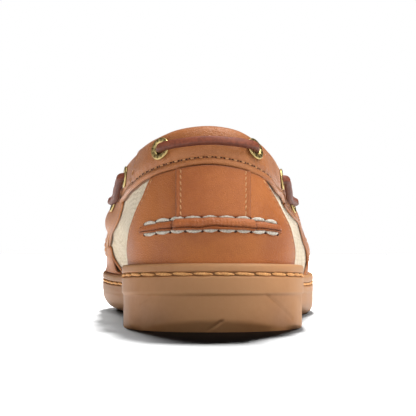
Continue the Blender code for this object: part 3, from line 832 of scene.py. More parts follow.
class Look(Tree):
    """A material being made, with the sources that the finishes share."""

    def __init__(self, name: str) -> None:
        """Starts the material.

        Args:
            name: the material's name.
        """
        self.material = bpy.data.materials.new(name)
        self.material.use_nodes = True
        super().__init__(self.material.node_tree)
        self.shader = self.tree.nodes["Principled BSDF"]

    def place(self) -> Socket:
        """The place on the object."""
        return self.add("TexCoord").outputs["Object"]

    def carried(self, name: str) -> Socket:
        """A value the pieces carry: edge (on rubber, painted highlight) or fold (painted shade; tarnish on brass)."""
        return self.add("Attribute", attribute_name=name).outputs["Fac"]

    def effect(self, group: bpy.types.NodeTree, place: Socket, number: float) -> bpy.types.bpy_prop_collection:
        """The outputs of a shared effect."""
        return self.add("Group", {0: place, 1: number}, node_tree=group).outputs

    def wire(self, colour: Socket, height: Socket, strength: float, depth: float, **inputs: object) -> None:
        """Joins the shader's inputs.

        Args:
            colour: the base colour.
            height: the fine relief.
            strength: how strongly the relief shows.
            depth: the relief's height in metres.
            **inputs: the shader's other inputs by name, with _ for a space.
        """
        relief = self.add("Bump", {"Height": height, "Strength": strength, "Distance": depth})
        for name, value in (("Base_Color", colour), ("Normal", relief.outputs[0]), *inputs.items()):
            self.put(self.shader.inputs[name.replace("_", " ")], value)


@dataclass(frozen=True)
class Paint:
    """What every finish has: the name of its material and a way to build it."""

    name: str

    def build(self, effects: Effects) -> bpy.types.Material:
        """Builds the finish.

        Args:
            effects: the shared node groups.

        Returns:
            The material.
        """
        look = Look(self.name)
        self.mix(look, effects)
        return look.material

    def mix(self, look: Look, effects: Effects) -> None:
        """Adds and joins the nodes. Every kind of finish has its own way."""
        raise NotImplementedError


@dataclass(frozen=True)
class Leather(Paint):
    """Oiled hide: slow colour changes, pebbled grain, burnished edges, and painted shade in its folds and grooves."""

    mid: Colour
    light: Colour
    dark: Colour
    edge: Colour
    roughness: float = 0.5
    cells: float = 1500.0
    depth: float = 0.00012
    clouds: float = 38.0
    mid_share: float = 0.55
    speck_share: float = 0.16
    crease_share: float = 0.34
    edge_share: float = 0.8
    fold_share: float = 0.85
    fold_shade: float = 0.28
    sheen: float = 0.15

    def mix(self, look: Look, effects: Effects) -> None:
        """Adds and joins the nodes."""
        place = look.place()
        slow, specks = look.effect(effects.cloud, place, self.clouds)
        height, crease = look.effect(effects.grain, place, self.cells)
        colour = look.blend(self.mid_share, look.blend(slow, self.dark, self.light), self.mid)
        colour = look.tint(colour, specks, self.speck_share, self.light)
        colour = look.tint(colour, crease, self.crease_share, self.dark)
        colour = look.tint(colour, look.carried("edge"), self.edge_share, self.edge)
        # Painted shade: darker where the piece's fold values mark creases, channels and grooves.
        colour = look.tint(colour, look.carried("fold"), self.fold_share, dimmed(self.dark, self.fold_shade))
        shine = look.span(slow, 0.0, 1.0, self.roughness - 0.05, self.roughness + 0.07)
        look.wire(colour, height, 0.9, self.depth, Roughness=shine, Specular_IOR_Level=0.5, Sheen_Weight=self.sheen,
                  Sheen_Roughness=0.35)


@dataclass(frozen=True)
class Cloth(Paint):
    """A coarse cream weave of uneven yarns."""

    yarn: Colour
    shade: Colour
    gap: Colour
    yarns: float
    clouds: float = 60.0
    cloud_share: float = 0.25
    gap_share: float = 0.35
    fold_share: float = 0.8
    fold_shade: float = 0.35
    speck_share: float = 0.3
    speck_height: float = 0.7
    depth: float = 0.0003

    def mix(self, look: Look, effects: Effects) -> None:
        """Adds and joins the nodes."""
        height, gap, yarn = look.effect(effects.weave, look.add("UVMap").outputs[0], self.yarns)
        slow, specks = look.effect(effects.cloud, look.place(), self.clouds)
        colour = look.blend(look.span(yarn, 0.35, 0.65), self.shade, self.yarn)
        colour = look.tint(colour, slow, self.cloud_share, self.shade)
        colour = look.tint(colour, gap, self.gap_share, self.gap)
        # Painted shade where the piece's fold values mark folds.
        colour = look.tint(colour, look.carried("fold"), self.fold_share, dimmed(self.gap, self.fold_shade))
        colour = look.tint(colour, specks, self.speck_share, self.shade)
        height = look.math("MULTIPLY_ADD", specks, self.speck_height, height)
        look.wire(colour, height, 0.8, self.depth, Roughness=0.9, Specular_IOR_Level=0.2, Sheen_Weight=0.15)


@dataclass(frozen=True)
class Rubber(Paint):
    """Gum rubber: a little milky, with specks, painted highlights along its edges and painted shade in its grooves.
    """

    mid: Colour
    light: Colour
    dark: Colour
    roughness: float = 0.55
    tread: bool = False
    clouds: float = 26.0
    mid_share: float = 0.6
    speck_share: float = 0.12
    edge_share: float = 0.5
    fold_share: float = 0.8
    fold_shade: float = 0.3
    fine_cells: float = 2200.0
    fine_depth: float = 0.00004
    sipes: float = 48.0
    sipe_wave: float = 9.0
    sipe_cells: float = 60.0
    sipe_share: float = 0.12
    sipe_depth: float = 0.0007

    def mix(self, look: Look, effects: Effects) -> None:
        """Adds and joins the nodes."""
        place = look.place()
        slow, specks = look.effect(effects.cloud, place, self.clouds)
        colour = look.blend(self.mid_share, look.blend(slow, self.dark, self.light), self.mid)
        colour = look.tint(colour, specks, self.speck_share, self.light)
        # Painted highlight where the piece's edge values mark the rim's top and the step line.
        colour = look.tint(colour, look.carried("edge"), self.edge_share, self.light)
        # Painted shade where the piece's fold values mark grooves, moulded lines and the medial ball.
        shade = dimmed(self.dark, self.fold_shade)
        colour = look.tint(colour, look.carried("fold"), self.fold_share, shade)
        height, depth = look.noise(place, self.fine_cells, 2.0).outputs["Fac"], self.fine_depth
        if self.tread:
            wave = look.add("TexWave", {"Vector": place, "Scale": self.sipes, "Distortion": self.sipe_wave,
                                        "Detail": 0.0, "Detail Scale": self.sipe_cells}, bands_direction="Y")
            wave = wave.outputs["Fac"]
            height = look.math("MULTIPLY_ADD", height, 0.05, look.span(wave, 0.0, self.sipe_share))
            # Painted shade in the sipes.
            colour = look.blend(look.span(wave, 0.0, self.sipe_share, 0.75, 0.0), colour, shade)
            depth = self.sipe_depth
        shine = look.span(slow, 0.0, 1.0, self.roughness - 0.05, self.roughness + 0.06)
        look.wire(colour, height, 0.7, depth, Roughness=shine, Subsurface_Weight=0.04, Subsurface_Scale=0.002,
                  Specular_IOR_Level=0.4, Sheen_Weight=0.04, Sheen_Roughness=0.35)


@dataclass(frozen=True)
class Cord(Paint):
    """Waxed cord, thread or rawhide, with fibres along and across it."""

    light: Colour
    dark: Colour
    roughness: float = 0.7
    scale: float = 1400.0
    depth: float = 0.0002
    fold_share: float = 0.8
    fold_shade: float = 0.3

    def mix(self, look: Look, effects: Effects) -> None:
        """Adds and joins the nodes."""
        height, streak = look.effect(effects.twist, look.place(), self.scale)
        colour = look.blend(streak, self.dark, self.light)
        # Painted shade where the piece's fold values mark it: the lace's underside.
        colour = look.tint(colour, look.carried("fold"), self.fold_share, dimmed(self.dark, self.fold_shade))
        look.wire(colour, height, 0.7, self.depth, Roughness=self.roughness)


@dataclass(frozen=True)
class Brass(Paint):
    """Worn satin brass, tarnished in its stamped marks, with painted shade in its hole."""

    metal: Colour
    tarnish_and_shade: Colour
    clouds: float = 300.0
    cloud_share: float = 0.35
    mark_shade: float = 0.25
    depth: float = 0.00005

    def mix(self, look: Look, effects: Effects) -> None:
        """Adds and joins the nodes."""
        slow, specks = look.effect(effects.cloud, look.place(), self.clouds)
        colour = look.tint(self.metal, slow, self.cloud_share, self.tarnish_and_shade)
        # Tarnish in the stamped marks; painted shade in the hole's dish and towards the base.
        colour = look.blend(look.carried("fold"), colour, dimmed(self.tarnish_and_shade, self.mark_shade))
        shine = look.span(specks, 0.0, 1.0, 0.34, 0.5)
        look.wire(colour, specks, 0.3, self.depth, Roughness=shine, Metallic=1.0)


class Finish(Enum):
    """Every finish of the shoe by name."""

    COUNTER = Leather("counter_leather", tone(182, 102, 41), tone(202, 123, 54), tone(153, 79, 30),
                      tone(122, 64, 30))
    TAB = Leather("tab_leather", tone(177, 96, 41), tone(196, 117, 54), tone(146, 74, 30), tone(122, 66, 32))
    COLLAR = Leather("collar_leather", tone(184, 114, 62), tone(202, 136, 80), tone(158, 90, 45),
                     tone(134, 76, 42), 0.48)
    SADDLE = Leather("saddle_leather", tone(186, 115, 64), tone(204, 138, 84), tone(158, 90, 48),
                     tone(124, 68, 38))
    VAMP = Leather("vamp_leather", tone(184, 114, 64), tone(203, 137, 85), tone(156, 90, 48), tone(124, 68, 38))
    LINING = Leather("lining_leather", tone(176, 128, 90), tone(192, 146, 106), tone(154, 106, 72),
                     tone(130, 88, 58), 0.7, 900.0, 0.00005)
    BINDING = Leather("binding_leather", tone(182, 115, 68), tone(200, 137, 86), tone(152, 92, 54),
                      tone(140, 82, 46))
    CLOTH = Cloth("cream_weave", tone(240, 227, 204), tone(224, 207, 178), tone(188, 164, 132), 560.0)
    GUM = Rubber("gum_rubber", tone(180, 126, 80), tone(197, 148, 104), tone(156, 102, 60))
    TREAD = Rubber("tread_rubber", tone(166, 113, 72), tone(186, 137, 96), tone(136, 88, 52), 0.6, True)
    RAWHIDE = Cord("rawhide_lace", tone(138, 70, 43), tone(114, 54, 32), 0.6, 900.0, 0.0001)
    COTTON = Cord("white_cord", tone(222, 216, 203), tone(186, 178, 162), 0.85)
    THREAD = Cord("tan_thread", tone(238, 180, 114), tone(204, 140, 82), 0.75)
    PALE = Cord("pale_thread", tone(216, 162, 112), tone(178, 120, 74), 0.75)
    # Dark pieces of painted shade, set in the needle holes.
    HOLE = Cord("needle_hole_shade", tone(70, 36, 20), tone(44, 22, 12), 0.9)
    BRASS = Brass("worn_brass", tone(214, 190, 130), tone(150, 122, 66))


@dataclass(frozen=True)
class Stitch:
    """A kind of stitch: its form, its pitch and half sizes in millimetres, and its look."""

    form: StitchForm
    pitch: float
    size: Vec
    finish: Finish = Finish.PALE
    slot: str = "tan_leather"


class Stitching(Enum):
    """Every kind of stitch on the shoe."""

    COLLAR = Stitch(StitchForm.MACHINE, 3.1, (0.95, 0.28, 0.24))
    # The hole kinds sew dark pieces of painted shade into the needle holes.
    COLLAR_HOLE = Stitch(StitchForm.HOLE, 1.55, (0.62, 0.36, 0.2), Finish.HOLE)
    LAP = Stitch(StitchForm.MACHINE, 2.9, (1.0, 0.26, 0.22))
    SADDLE = Stitch(StitchForm.MACHINE, 2.7, (1.0, 0.26, 0.22))
    COUNTER = Stitch(StitchForm.MACHINE, 2.5, (0.95, 0.24, 0.2))
    TAB = Stitch(StitchForm.MACHINE, 2.05, (0.86, 0.3, 0.27))
    WELT = Stitch(StitchForm.WELT, 7.4, (3.6, 0.58, 0.5), Finish.THREAD)
    KICKER = Stitch(StitchForm.CORD, 5.95, (2.85, 0.64, 0.66), Finish.COTTON, "cream_textile")
    KICKER_HOLE = Stitch(StitchForm.HOLE, 5.95, (0.6, 0.5, 0.3), Finish.HOLE)
    SEAM = Stitch(StitchForm.CORD, 6.2, (2.5, 0.72, 0.7), Finish.COTTON, "cream_textile")


def row_at(path: Array, normals: Array, index: Array) -> tuple[Array, Array, Array]:
    """The places, directions and outward normals at fractional indices of a path."""
    return read_path(path, index), read_path(np.gradient(path, axis=0), index), unit(read_path(normals, index))


class Workshop:
    """Holds the skin, the placing and the finishes, and hands over finished pieces."""

    bulge_out: float = 2.2
    bulge_at: float = 168.0
    bulge_reach: float = 26.0

    def __init__(self) -> None:
        """Prepares all that the pieces share."""
        self.ground = Ground()
        self.skin = Skin(self.ground)
        self.place = Placing()
        self.needle = Needle()
        self.effects = Effects()
        self.built: dict[Finish, bpy.types.Material] = {}

    def finish(self, obj: bpy.types.Object, finish: Finish, slot: str, *nodes: str) -> bpy.types.Object:
        """Dresses a piece and lets it ride with the shoe.

        Args:
            obj: the piece.
            finish: its look.
            slot: the record's material slot. Not used.
            *nodes: the solids that it stands for.

        Returns:
            The same piece.
        """
        if finish not in self.built:
            self.built[finish] = finish.value.build(self.effects)
        obj.data.materials.clear()
        obj.data.materials.append(self.built[finish])
        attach(obj, "root")
        if nodes:
            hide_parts(*nodes)
        log.info("%s: %d faces", obj.name, len(obj.data.polygons))
        return obj

    def points(self, u: Array, v: Array, lift: Array | float = 0.0, rise: Array | float = 0.0) -> Array:
        """Frame positions off the skin, in metres."""
        return self.place.metres(self.skin.at(u, v, lift, rise))

    def bulge(self, u: Array, v: Array) -> Array:
        """How far the inner side of the forefoot hangs out over the rim."""
        place = self.skin.at(u, v)
        fall = np.interp(v, (1.0, 1.12, 1.4, 1.6), (0.0, 1.0, 0.25, 0.0))
        inner = np.clip(-place[..., 0] / 20.0, 0, 1)
        return self.bulge_out * fall * bump(place[..., 1], self.bulge_at, self.bulge_reach) * inner

    def sew(self, name: str, kind: Stitching, row: tuple[Array, Array, Array],
            slant: float = 0.0, bend: float = 0.0) -> None:
        """Sews a row of stitches at known places.

        Args:
            name: the row's name.
            kind: the kind of stitch.
            row: the places in metres, directions and outward normals.
            slant: the turn of each stitch, in radians.
            bend: the fall of each stitch's ends, in millimetres.
        """
        stitch = kind.value
        size = tuple(value * MM for value in stitch.size)
        self.finish(self.needle.sew(name, stitch.form, row, size, slant, bend * MM), stitch.finish, stitch.slot)

    def row(self, name: str, kind: Stitching, u: Array, v: Array, lift: float,
            slant: float = 0.0, bend: float = 0.0) -> None:
        """Sews a row along a line of the skin.

        Args:
            name: the row's name.
            kind: the kind of stitch.
            u: ring places along the line.
            v: line numbers along the line.
            lift: how far off the skin the stitches lie, in millimetres.
            slant: the turn of each stitch, in radians.
            bend: the fall of each stitch's ends, in millimetres.
        """
        path = self.points(u, v, lift)
        index, _ = spaced(path, kind.value.pitch * MM)
        self.sew(name, kind, row_at(path, self.skin.out(u, v), index), slant, bend)


# ---------------------------------------------------------------- panels on the skin


RIM_STOPS = (0.0, 0.12, 0.3, 0.55, 0.9, 1.4)


def shares(length: float, cell: float) -> Array:
    """Stops from 0 to 1 across a length, closer together at both ends.

    Args:
        length: the length in millimetres.
        cell: the spacing between the ends.

    Returns:
        The stops as shares of the length.
    """
    ends, inset = np.array(RIM_STOPS[:-1]), RIM_STOPS[-1]
    inner = np.linspace(inset, length - inset, max(2, int(round((length - 2 * inset) / cell)) + 1))
    return np.concatenate([ends, inner, length - ends[::-1]]) / length


@dataclass(frozen=True)
class Crease:
    """A soft trough (depth above 0) or ridge (below 0) between two flat places, in millimetres."""

    start: tuple[float, float]
    end: tuple[float, float]
    depth: float
    width: float

    def relief(self, flat: Array) -> Array:
        """How far the crease lowers each flat place."""
        a, b = np.array(self.start), np.array(self.end)
        length = np.linalg.norm(b - a)
        share = np.clip(((flat - a) @ (b - a)) / length**2, 0.0, 1.0)
        bow = 0.08 * length * np.sin(share * math.pi)
        nearest = a + share[..., None] * (b - a) + bow[..., None] * np.array([-(b - a)[1], (b - a)[0]]) / length
        gap = np.linalg.norm(flat - nearest, axis=-1)
        return self.depth * bump(gap, 0.0, self.width) * (0.25 + 0.75 * np.sin(share * math.pi) ** 0.5)


class Spots(NamedTuple):
    """A panel's grid places: ring places, lines, flat places, and distances to its four edges."""

    u: Array
    v: Array
    flat: Array
    gaps: Array


@dataclass
class Panel:
    """A sheet laid on the skin between two side edges and two lines. Sizes in millimetres.

    A channel is the number of an edge (0 left, 1 right, 2 low, 3 high), the distance from it and a depth.
    """

    shop: Workshop
    left: Array
    right: Array
    lines: Array
    low: float
    thickness: float
    cell: float = 0.7
    edge_radius: float = 0.6
    creases: Sequence[Crease] = ()
    channels: Sequence[tuple[int, float, float]] = ()
    edge_share: float = 0.3
    edge_wear: float = 0.5
    crease_shade: float = 0.35
    channel_shade: float = 0.25
    channel_half: float = 0.42
    sheet_share: float = 0.8

    def build(self, name: str, extra: Callable[[Spots], Array] | None = None) -> bpy.types.Object:
        """Lays the panel.

        Args:
            name: the piece's name.
            extra: more relief in millimetres at each spot.

        Returns:
            The panel, with its edge attribute and its fold attribute of painted shade.
        """
        skin = self.shop.skin
        middle = len(self.lines) // 2
        across = skin.at(np.linspace(self.left[middle], self.right[middle], 60), self.lines[middle])
        width = np.linalg.norm(np.diff(across, axis=0), axis=1).sum()
        share = shares(width, self.cell)
        u = self.left[:, None] + (self.right - self.left)[:, None] * share
        v = np.repeat(self.lines[:, None], len(share), axis=1)
        gaps = self.distances(skin.at(u, v, self.low))
        nearest = gaps.min(axis=0)
        turned = self.edge_share + (1 - self.edge_share) * rounded(nearest, self.edge_radius)
        lift = self.low + self.thickness * turned
        flat = skin.cloth_place(u, v)
        # Painted shade: the fold values darken the crease troughs and the seam channels.
        fold = np.zeros(u.shape)
        for crease in self.creases:
            depth = crease.relief(flat)
            lift = lift - depth
            fold = fold + np.clip(depth, 0, 1) * self.crease_shade
        for side, inset, depth in self.channels:
            dip = bump(gaps[side], inset, self.channel_half)
            lift = lift - depth * dip
            fold = fold + self.channel_shade * dip
        if extra is not None:
            lift = lift + extra(Spots(u, v, flat, gaps))
        obj = laid_grid(name, self.shop.points(u, v, lift), flat * MM)
        set_values(obj, "edge", np.exp(-nearest / self.edge_wear))
        set_values(obj, "fold", np.clip(fold, 0, 1))
        thicken(obj, self.thickness * self.sheet_share * MM)
        soften(obj, 60.0)
        return obj

    @staticmethod
    def distances(base: Array) -> Array:
        """The distances of each grid point to the left, right, low and high edges."""
        across = np.linalg.norm(np.diff(base, axis=1), axis=2)
        up = np.linalg.norm(np.diff(base, axis=0), axis=2)
        left = np.concatenate([np.zeros((base.shape[0], 1)), np.cumsum(across, axis=1)], axis=1)
        low = np.concatenate([np.zeros((1, base.shape[1])), np.cumsum(up, axis=0)], axis=0)
        return np.array([left, left[:, -1:] - left, low, low[-1:] - low])


def lines_between(skin: Skin, u: float, low: float, high: float, cell: float) -> Array:
    """Line numbers from low to high, evenly spaced on the skin at a ring place and closer at the ends."""
    fine = np.linspace(low, high, 200)
    heights = skin.read(skin.heights, np.full(200, u), fine)
    stops = shares(heights[-1] - heights[0], cell) * (heights[-1] - heights[0]) + heights[0]
    return np.interp(stops, heights, fine)


# ---------------------------------------------------------------- the sole


STEP_CORNER, GROOVE_CORNER, RIM_CORNER = 4, 5, 9

# The moulded lines of the heel: start and end as (run from the heel's back, height), depth, width.
MOULDED_LINES = (
    ((-24.0, 12.6), (-31.5, 9.4), 0.35, 0.5),
    ((18.9, 13.5), (37.0, 4.0), 0.45, 0.5),
    ((46.0, 11.4), (52.0, 5.4), 0.3, 0.6),
    ((3.4, 4.4), (-2.4, 0.4), 0.9, 0.45),
)

# The footbed's edge: (distance in from the wall, height) from its underside to its top.
FOOTBED_EDGE = ((0.0, 0.2), (0.0, 2.3), (0.25, 2.75), (0.9, 3.0), (4.0, 2.95), (9.0, 2.8))


@dataclass
class Sole:
    """The cupsole with its welt stitches, and the footbed in it. Sizes in millimetres.

    Bevels and roundings are (height, inset) of the wall's lower corner.
    """

    shop: Workshop
    columns: int = 720
    heel_bevel: tuple[float, float] = (3.2, 1.5)
    heel_reach: float = 14.0
    arch_reach: float = 31.0
    heel_sharp: float = 0.68
    ball_at: float = 168.0
    ball_reach: float = 72.0
    ball_shade: float = 0.42
    edge_bevel: tuple[float, float] = (2.0, 2.4)
    medial_round: tuple[float, float] = (8.0, 9.0)
    lateral_round: tuple[float, float] = (4.0, 2.6)
    round_share: float = 0.293
    step_share: float = 0.55
    step_depth: float = 0.6
    facet_depth: float = 1.6
    facet_at: float = 13.0
    facet_reach: float = 10.0
    side_at: float = 40.0
    side_reach: float = 26.0
    groove_drop: float = 3.7
    groove_half: float = 1.0
    groove_depth: float = 0.95
    wall_cell: float = 0.6
    line_shade: float = 0.45
    groove_shade: float = 0.75

    def edge(self) -> tuple[Array, Array]:
        """The outline's points and normals at every column."""
        loop = around(SOLE_EDGE, np.arange(self.columns) / self.columns * 2 * HALF_TURN)
        return loop, level_normals(loop)

    def corners(self) -> tuple[list[tuple[Array, Array]], list[Array | float]]:
        """The section's corners as (inset, height) at every column, and their radii."""
        loop, _ = self.edge()
        s = loop[:, 1]
        ground = self.shop.ground
        low, top = ground.low(s), ground.top(s)
        heel, ball = near(s, 0.0, self.heel_reach), near(s, self.ball_at, self.ball_reach)
        depth = self.step_depth * (1 - 0.8 * ball)
        facet = depth + self.facet_depth * near(s, self.facet_at, self.facet_reach)
        turned = np.where(loop[:, :1] < 0.0, self.medial_round, self.lateral_round)
        edge, back = np.array(self.edge_bevel), np.array(self.heel_bevel)
        arch = heel * np.clip(1 - (loop[:, 0] / self.arch_reach) ** 2, 0, 1)
        sharp = np.maximum(0.6 * heel, self.heel_sharp * near(s, self.side_at, self.side_reach))
        size = edge * (1 - sharp[:, None]) + back * arch[:, None] + (turned - edge) * ball[:, None]
        bevel, inset = size[:, 0], size[:, 1]
        share = 0.5 + (self.round_share - 0.5) * ball
        step = low + (top - low) * self.step_share
        groove = top - self.groove_drop
        zero = np.zeros(len(s))
        deep, lip = zero + self.groove_depth, zero + ground.rim_width - 0.1
        table = (
            (inset, low, 0.6),
            (facet + (inset - facet) * share, low + bevel * share, 4.0),
            (facet, low + bevel, 0.8 + 3.0 * ball),
            (depth + 0.2 * (facet - depth), step - 0.45, 0.3),
            (zero, step + 0.35, 0.35),
            (zero, groove - self.groove_half, 0.25),
            (deep, groove - 0.5 * self.groove_half, 0.2),
            (deep, groove + 0.5 * self.groove_half, 0.2),
            (zero, groove + self.groove_half, 0.3),
            (zero, top, 1.1),
            (lip, top, 0.3),
            (lip, top - ground.cup_depth, 0.1),
        )
        return [corner[:2] for corner in table], [corner[2] for corner in table]

    def rows(self) -> list[tuple[Array, Array]]:
        """The section with its corners rounded and its long stretches divided."""
        corners, radii = self.corners()
        rows = [corners[0]]
        for k in range(1, len(corners) - 1):
            here, back, ahead = (np.array(corners[k + j]) for j in (0, -1, 1))
            a, b = (here + way * np.minimum(radii[k] / np.maximum(np.linalg.norm(way, axis=0), 1e-6), 0.45)
                    for way in (back - here, ahead - here))
            turn = [(1 - t) ** 2 * a + 2 * t * (1 - t) * here + t**2 * b for t in (0.0, 0.33, 0.67, 1.0)]
            start = np.array(rows[-1])
            span = float(np.linalg.norm(turn[0] - start, axis=0).max())
            for share in np.linspace(0, 1, max(1, int(round(span / self.wall_cell))) + 1)[1:-1]:
                rows.append(tuple(start + (turn[0] - start) * share))
            rows += [tuple(point) for point in turn]
        return [*rows, corners[-1]]

    def carve(self, z: Array, run: Array) -> tuple[Array, Array]:
        """The moulded lines of the heel: how far they go in, and the painted shade in them."""
        depth = np.zeros(z.shape)
        places = np.stack([run, z], axis=-1)
        for start, end, deep, width in MOULDED_LINES:
            a, b = np.array(start), np.array(end)
            share = np.clip(((places - a) @ (b - a)) / np.dot(b - a, b - a), 0.0, 1.0)
            gap = np.linalg.norm(places - a - share[..., None] * (b - a), axis=-1)
            depth = depth + deep * bump(gap, 0.0, width) * np.clip(share * 6, 0, 1) ** 0.5
        return depth, np.clip(depth, 0, 1) * self.line_shade

    def across(self, name: str, ring: Array, count: int) -> bpy.types.Object:
        """A sheet across the foot between both halves of a ring."""
        half = len(ring) // 2
        one, other = ring[:half + 1], np.concatenate([ring[:1], ring[half:][::-1]])
        share = np.linspace(0, 1, count)[None, :, None]
        obj = laid_grid(name, self.shop.place.metres(one[:, None] * (1 - share) + other[:, None] * share))
        merge(obj)
        return obj

    def closed(self, name: str, rings: Array) -> bpy.types.Object:
        """A wall through rings of points, closed round the foot."""
        return laid_grid(name, self.shop.place.metres(np.concatenate([rings, rings[:, :1]], axis=1)))

    def build_outsole(self) -> None:
        """The rubber wall, its rim and cup, with the tread below."""
        loop, normals = self.edge()
        steps = np.linalg.norm(np.roll(loop, -1, axis=0) - loop, axis=1)
        run = np.concatenate([[0.0], np.cumsum(steps)[:-1]])
        run = np.where(run > run[-1] / 2, run - steps.sum(), run)
        corners, _ = self.corners()
        groove = corners[GROOVE_CORNER][1] + self.groove_half
        ball = near(loop[:, 1], self.ball_at, self.ball_reach)
        # Painted shade over the wall on the medial side at the ball.
        ball_shading = self.ball_shade * ball * np.clip(0.5 - loop[:, 0] / 40.0, 0, 1)
        drawn, folds, edges = [], [], []
        for inset, height in self.rows():
            depth, dark = self.carve(height, run)
            wall = np.clip(1 - np.abs(inset - 0.4) / 2.2, 0, 1)
            points = loop - normals * (inset + depth * wall)[:, None]
            points[:, 2] = height
            drawn.append(points)
            # Painted shade in the moulded lines, the welt groove and over the medial ball.
            in_groove = bump(height, groove, 0.75) * (inset > 0.3) * (inset < 1.2)
            folds.append(np.clip(dark * wall + self.groove_shade * in_groove + ball_shading, 0, 1))
            # Painted highlight along the step line and the rim's rounded top.
            step = 0.7 * (1 - ball) * bump(height, corners[STEP_CORNER][1], 0.5)
            edges.append(bump(height, corners[RIM_CORNER][1], 0.9) + step)
        rings = np.array(drawn)
        wall = self.closed("outsole_wall", rings)
        for label, values in (("fold", np.array(folds)), ("edge", np.array(edges))):
            set_values(wall, label, np.concatenate([values, values[:, :1]], axis=1))
        weld(wall, self.across("outsole_cup", rings[-1][::4], 8))
        soften(wall, 35.0)
        self.shop.finish(wall, Finish.GUM, "gum_rubber", "outsole")
        tread = self.across("outsole_tread", rings[0], 26)
        tread.data.flip_normals()
        self.shop.finish(tread, Finish.TREAD, "gum_rubber", "outsole")

    def build_welt_stitches(self) -> None:
        """The long stitches in the groove round the rim."""
        loop, normals = self.edge()
        path = loop - normals * (self.groove_depth - 0.5)
        path[:, 2] = self.shop.ground.top(loop[:, 1]) - self.groove_drop
        path, normals = (np.concatenate([ring, ring[:1]]) for ring in (path, normals))
        index, _ = spaced(path, Stitching.WELT.value.pitch)
        centres, along, out = row_at(path, normals, index)
        self.shop.sew("welt_stitches", Stitching.WELT, (self.shop.place.metres(centres), along, out), -0.05)

    def build_footbed(self) -> None:
        """The lined footbed, a little higher at its edge."""
        ground = self.shop.ground
        loop, normals = self.edge()
        floor = ground.top(loop[:, 1]) - ground.cup_depth + GAP
        inset = ground.rim_width + WALL + 2 * GAP
        drawn = []
        for step, height in FOOTBED_EDGE:
            points = loop - normals * (inset + step)
            points[:, 2] = floor + height
            drawn.append(points[::2])
        wall = self.closed("footbed", np.array(drawn))
        weld(wall, self.across("footbed_top", drawn[-1], 14))
        soften(wall)
        self.shop.finish(wall, Finish.LINING, "lining_leather", "insole")

    def build(self) -> None:
        """Builds all of the sole."""
        self.build_outsole()
        self.build_welt_stitches()
        self.build_footbed()


# ---------------------------------------------------------------- the upper

# Side outlines as (height, distance forward of the heel's back), by rising height.
COUNTER_EDGE = {
    -1: ((0.0, 33.0), (24.5, 32.3), (27.5, 32.0), (30.4, 29.5), (33.4, 26.4), (36.2, 24.3), (39.0, 22.0),
         (42.0, 20.0), (44.8, 18.4), (47.3, 17.0), (50.0, 16.3), (52.6, 15.7), (55.0, 15.0), (90.0, 15.0)),
    1: ((0.0, 25.0), (23.3, 25.4), (25.7, 26.3), (28.4, 25.7), (31.2, 23.3), (34.0, 21.3), (37.3, 19.8),
        (39.8, 18.4), (42.7, 17.4), (45.1, 16.8), (47.6, 16.0), (50.5, 15.0), (90.0, 15.0)),
}
SADDLE_BACK = {
    -1: ((0.0, 149.0), (17.0, 149.1), (18.7, 152.2), (21.7, 154.4), (24.8, 154.8), (28.3, 151.2), (32.3, 144.7),
         (35.6, 111.0), (37.2, 101.9), (39.1, 95.0), (41.5, 89.4), (44.1, 86.5), (46.9, 83.0)),
    1: ((0.0, 156.0), (19.2, 156.5), (20.6, 160.9), (24.2, 159.7), (27.7, 155.4), (30.8, 147.1), (33.9, 140.1),
        (37.2, 128.3), (40.0, 112.8), (41.2, 104.4), (42.7, 98.6), (45.1, 92.0), (47.3, 85.2)),
}
SADDLE_FRONT = ((0.0, 181.0), (18.0, 177.0), (46.0, 158.5), (62.0, 153.0), (90.0, 152.0))
APRON_BACK = ((18.0, 166.0), (46.0, 158.9), (62.0, 153.4), (90.0, 152.4))

LOW_LINE = 0.85


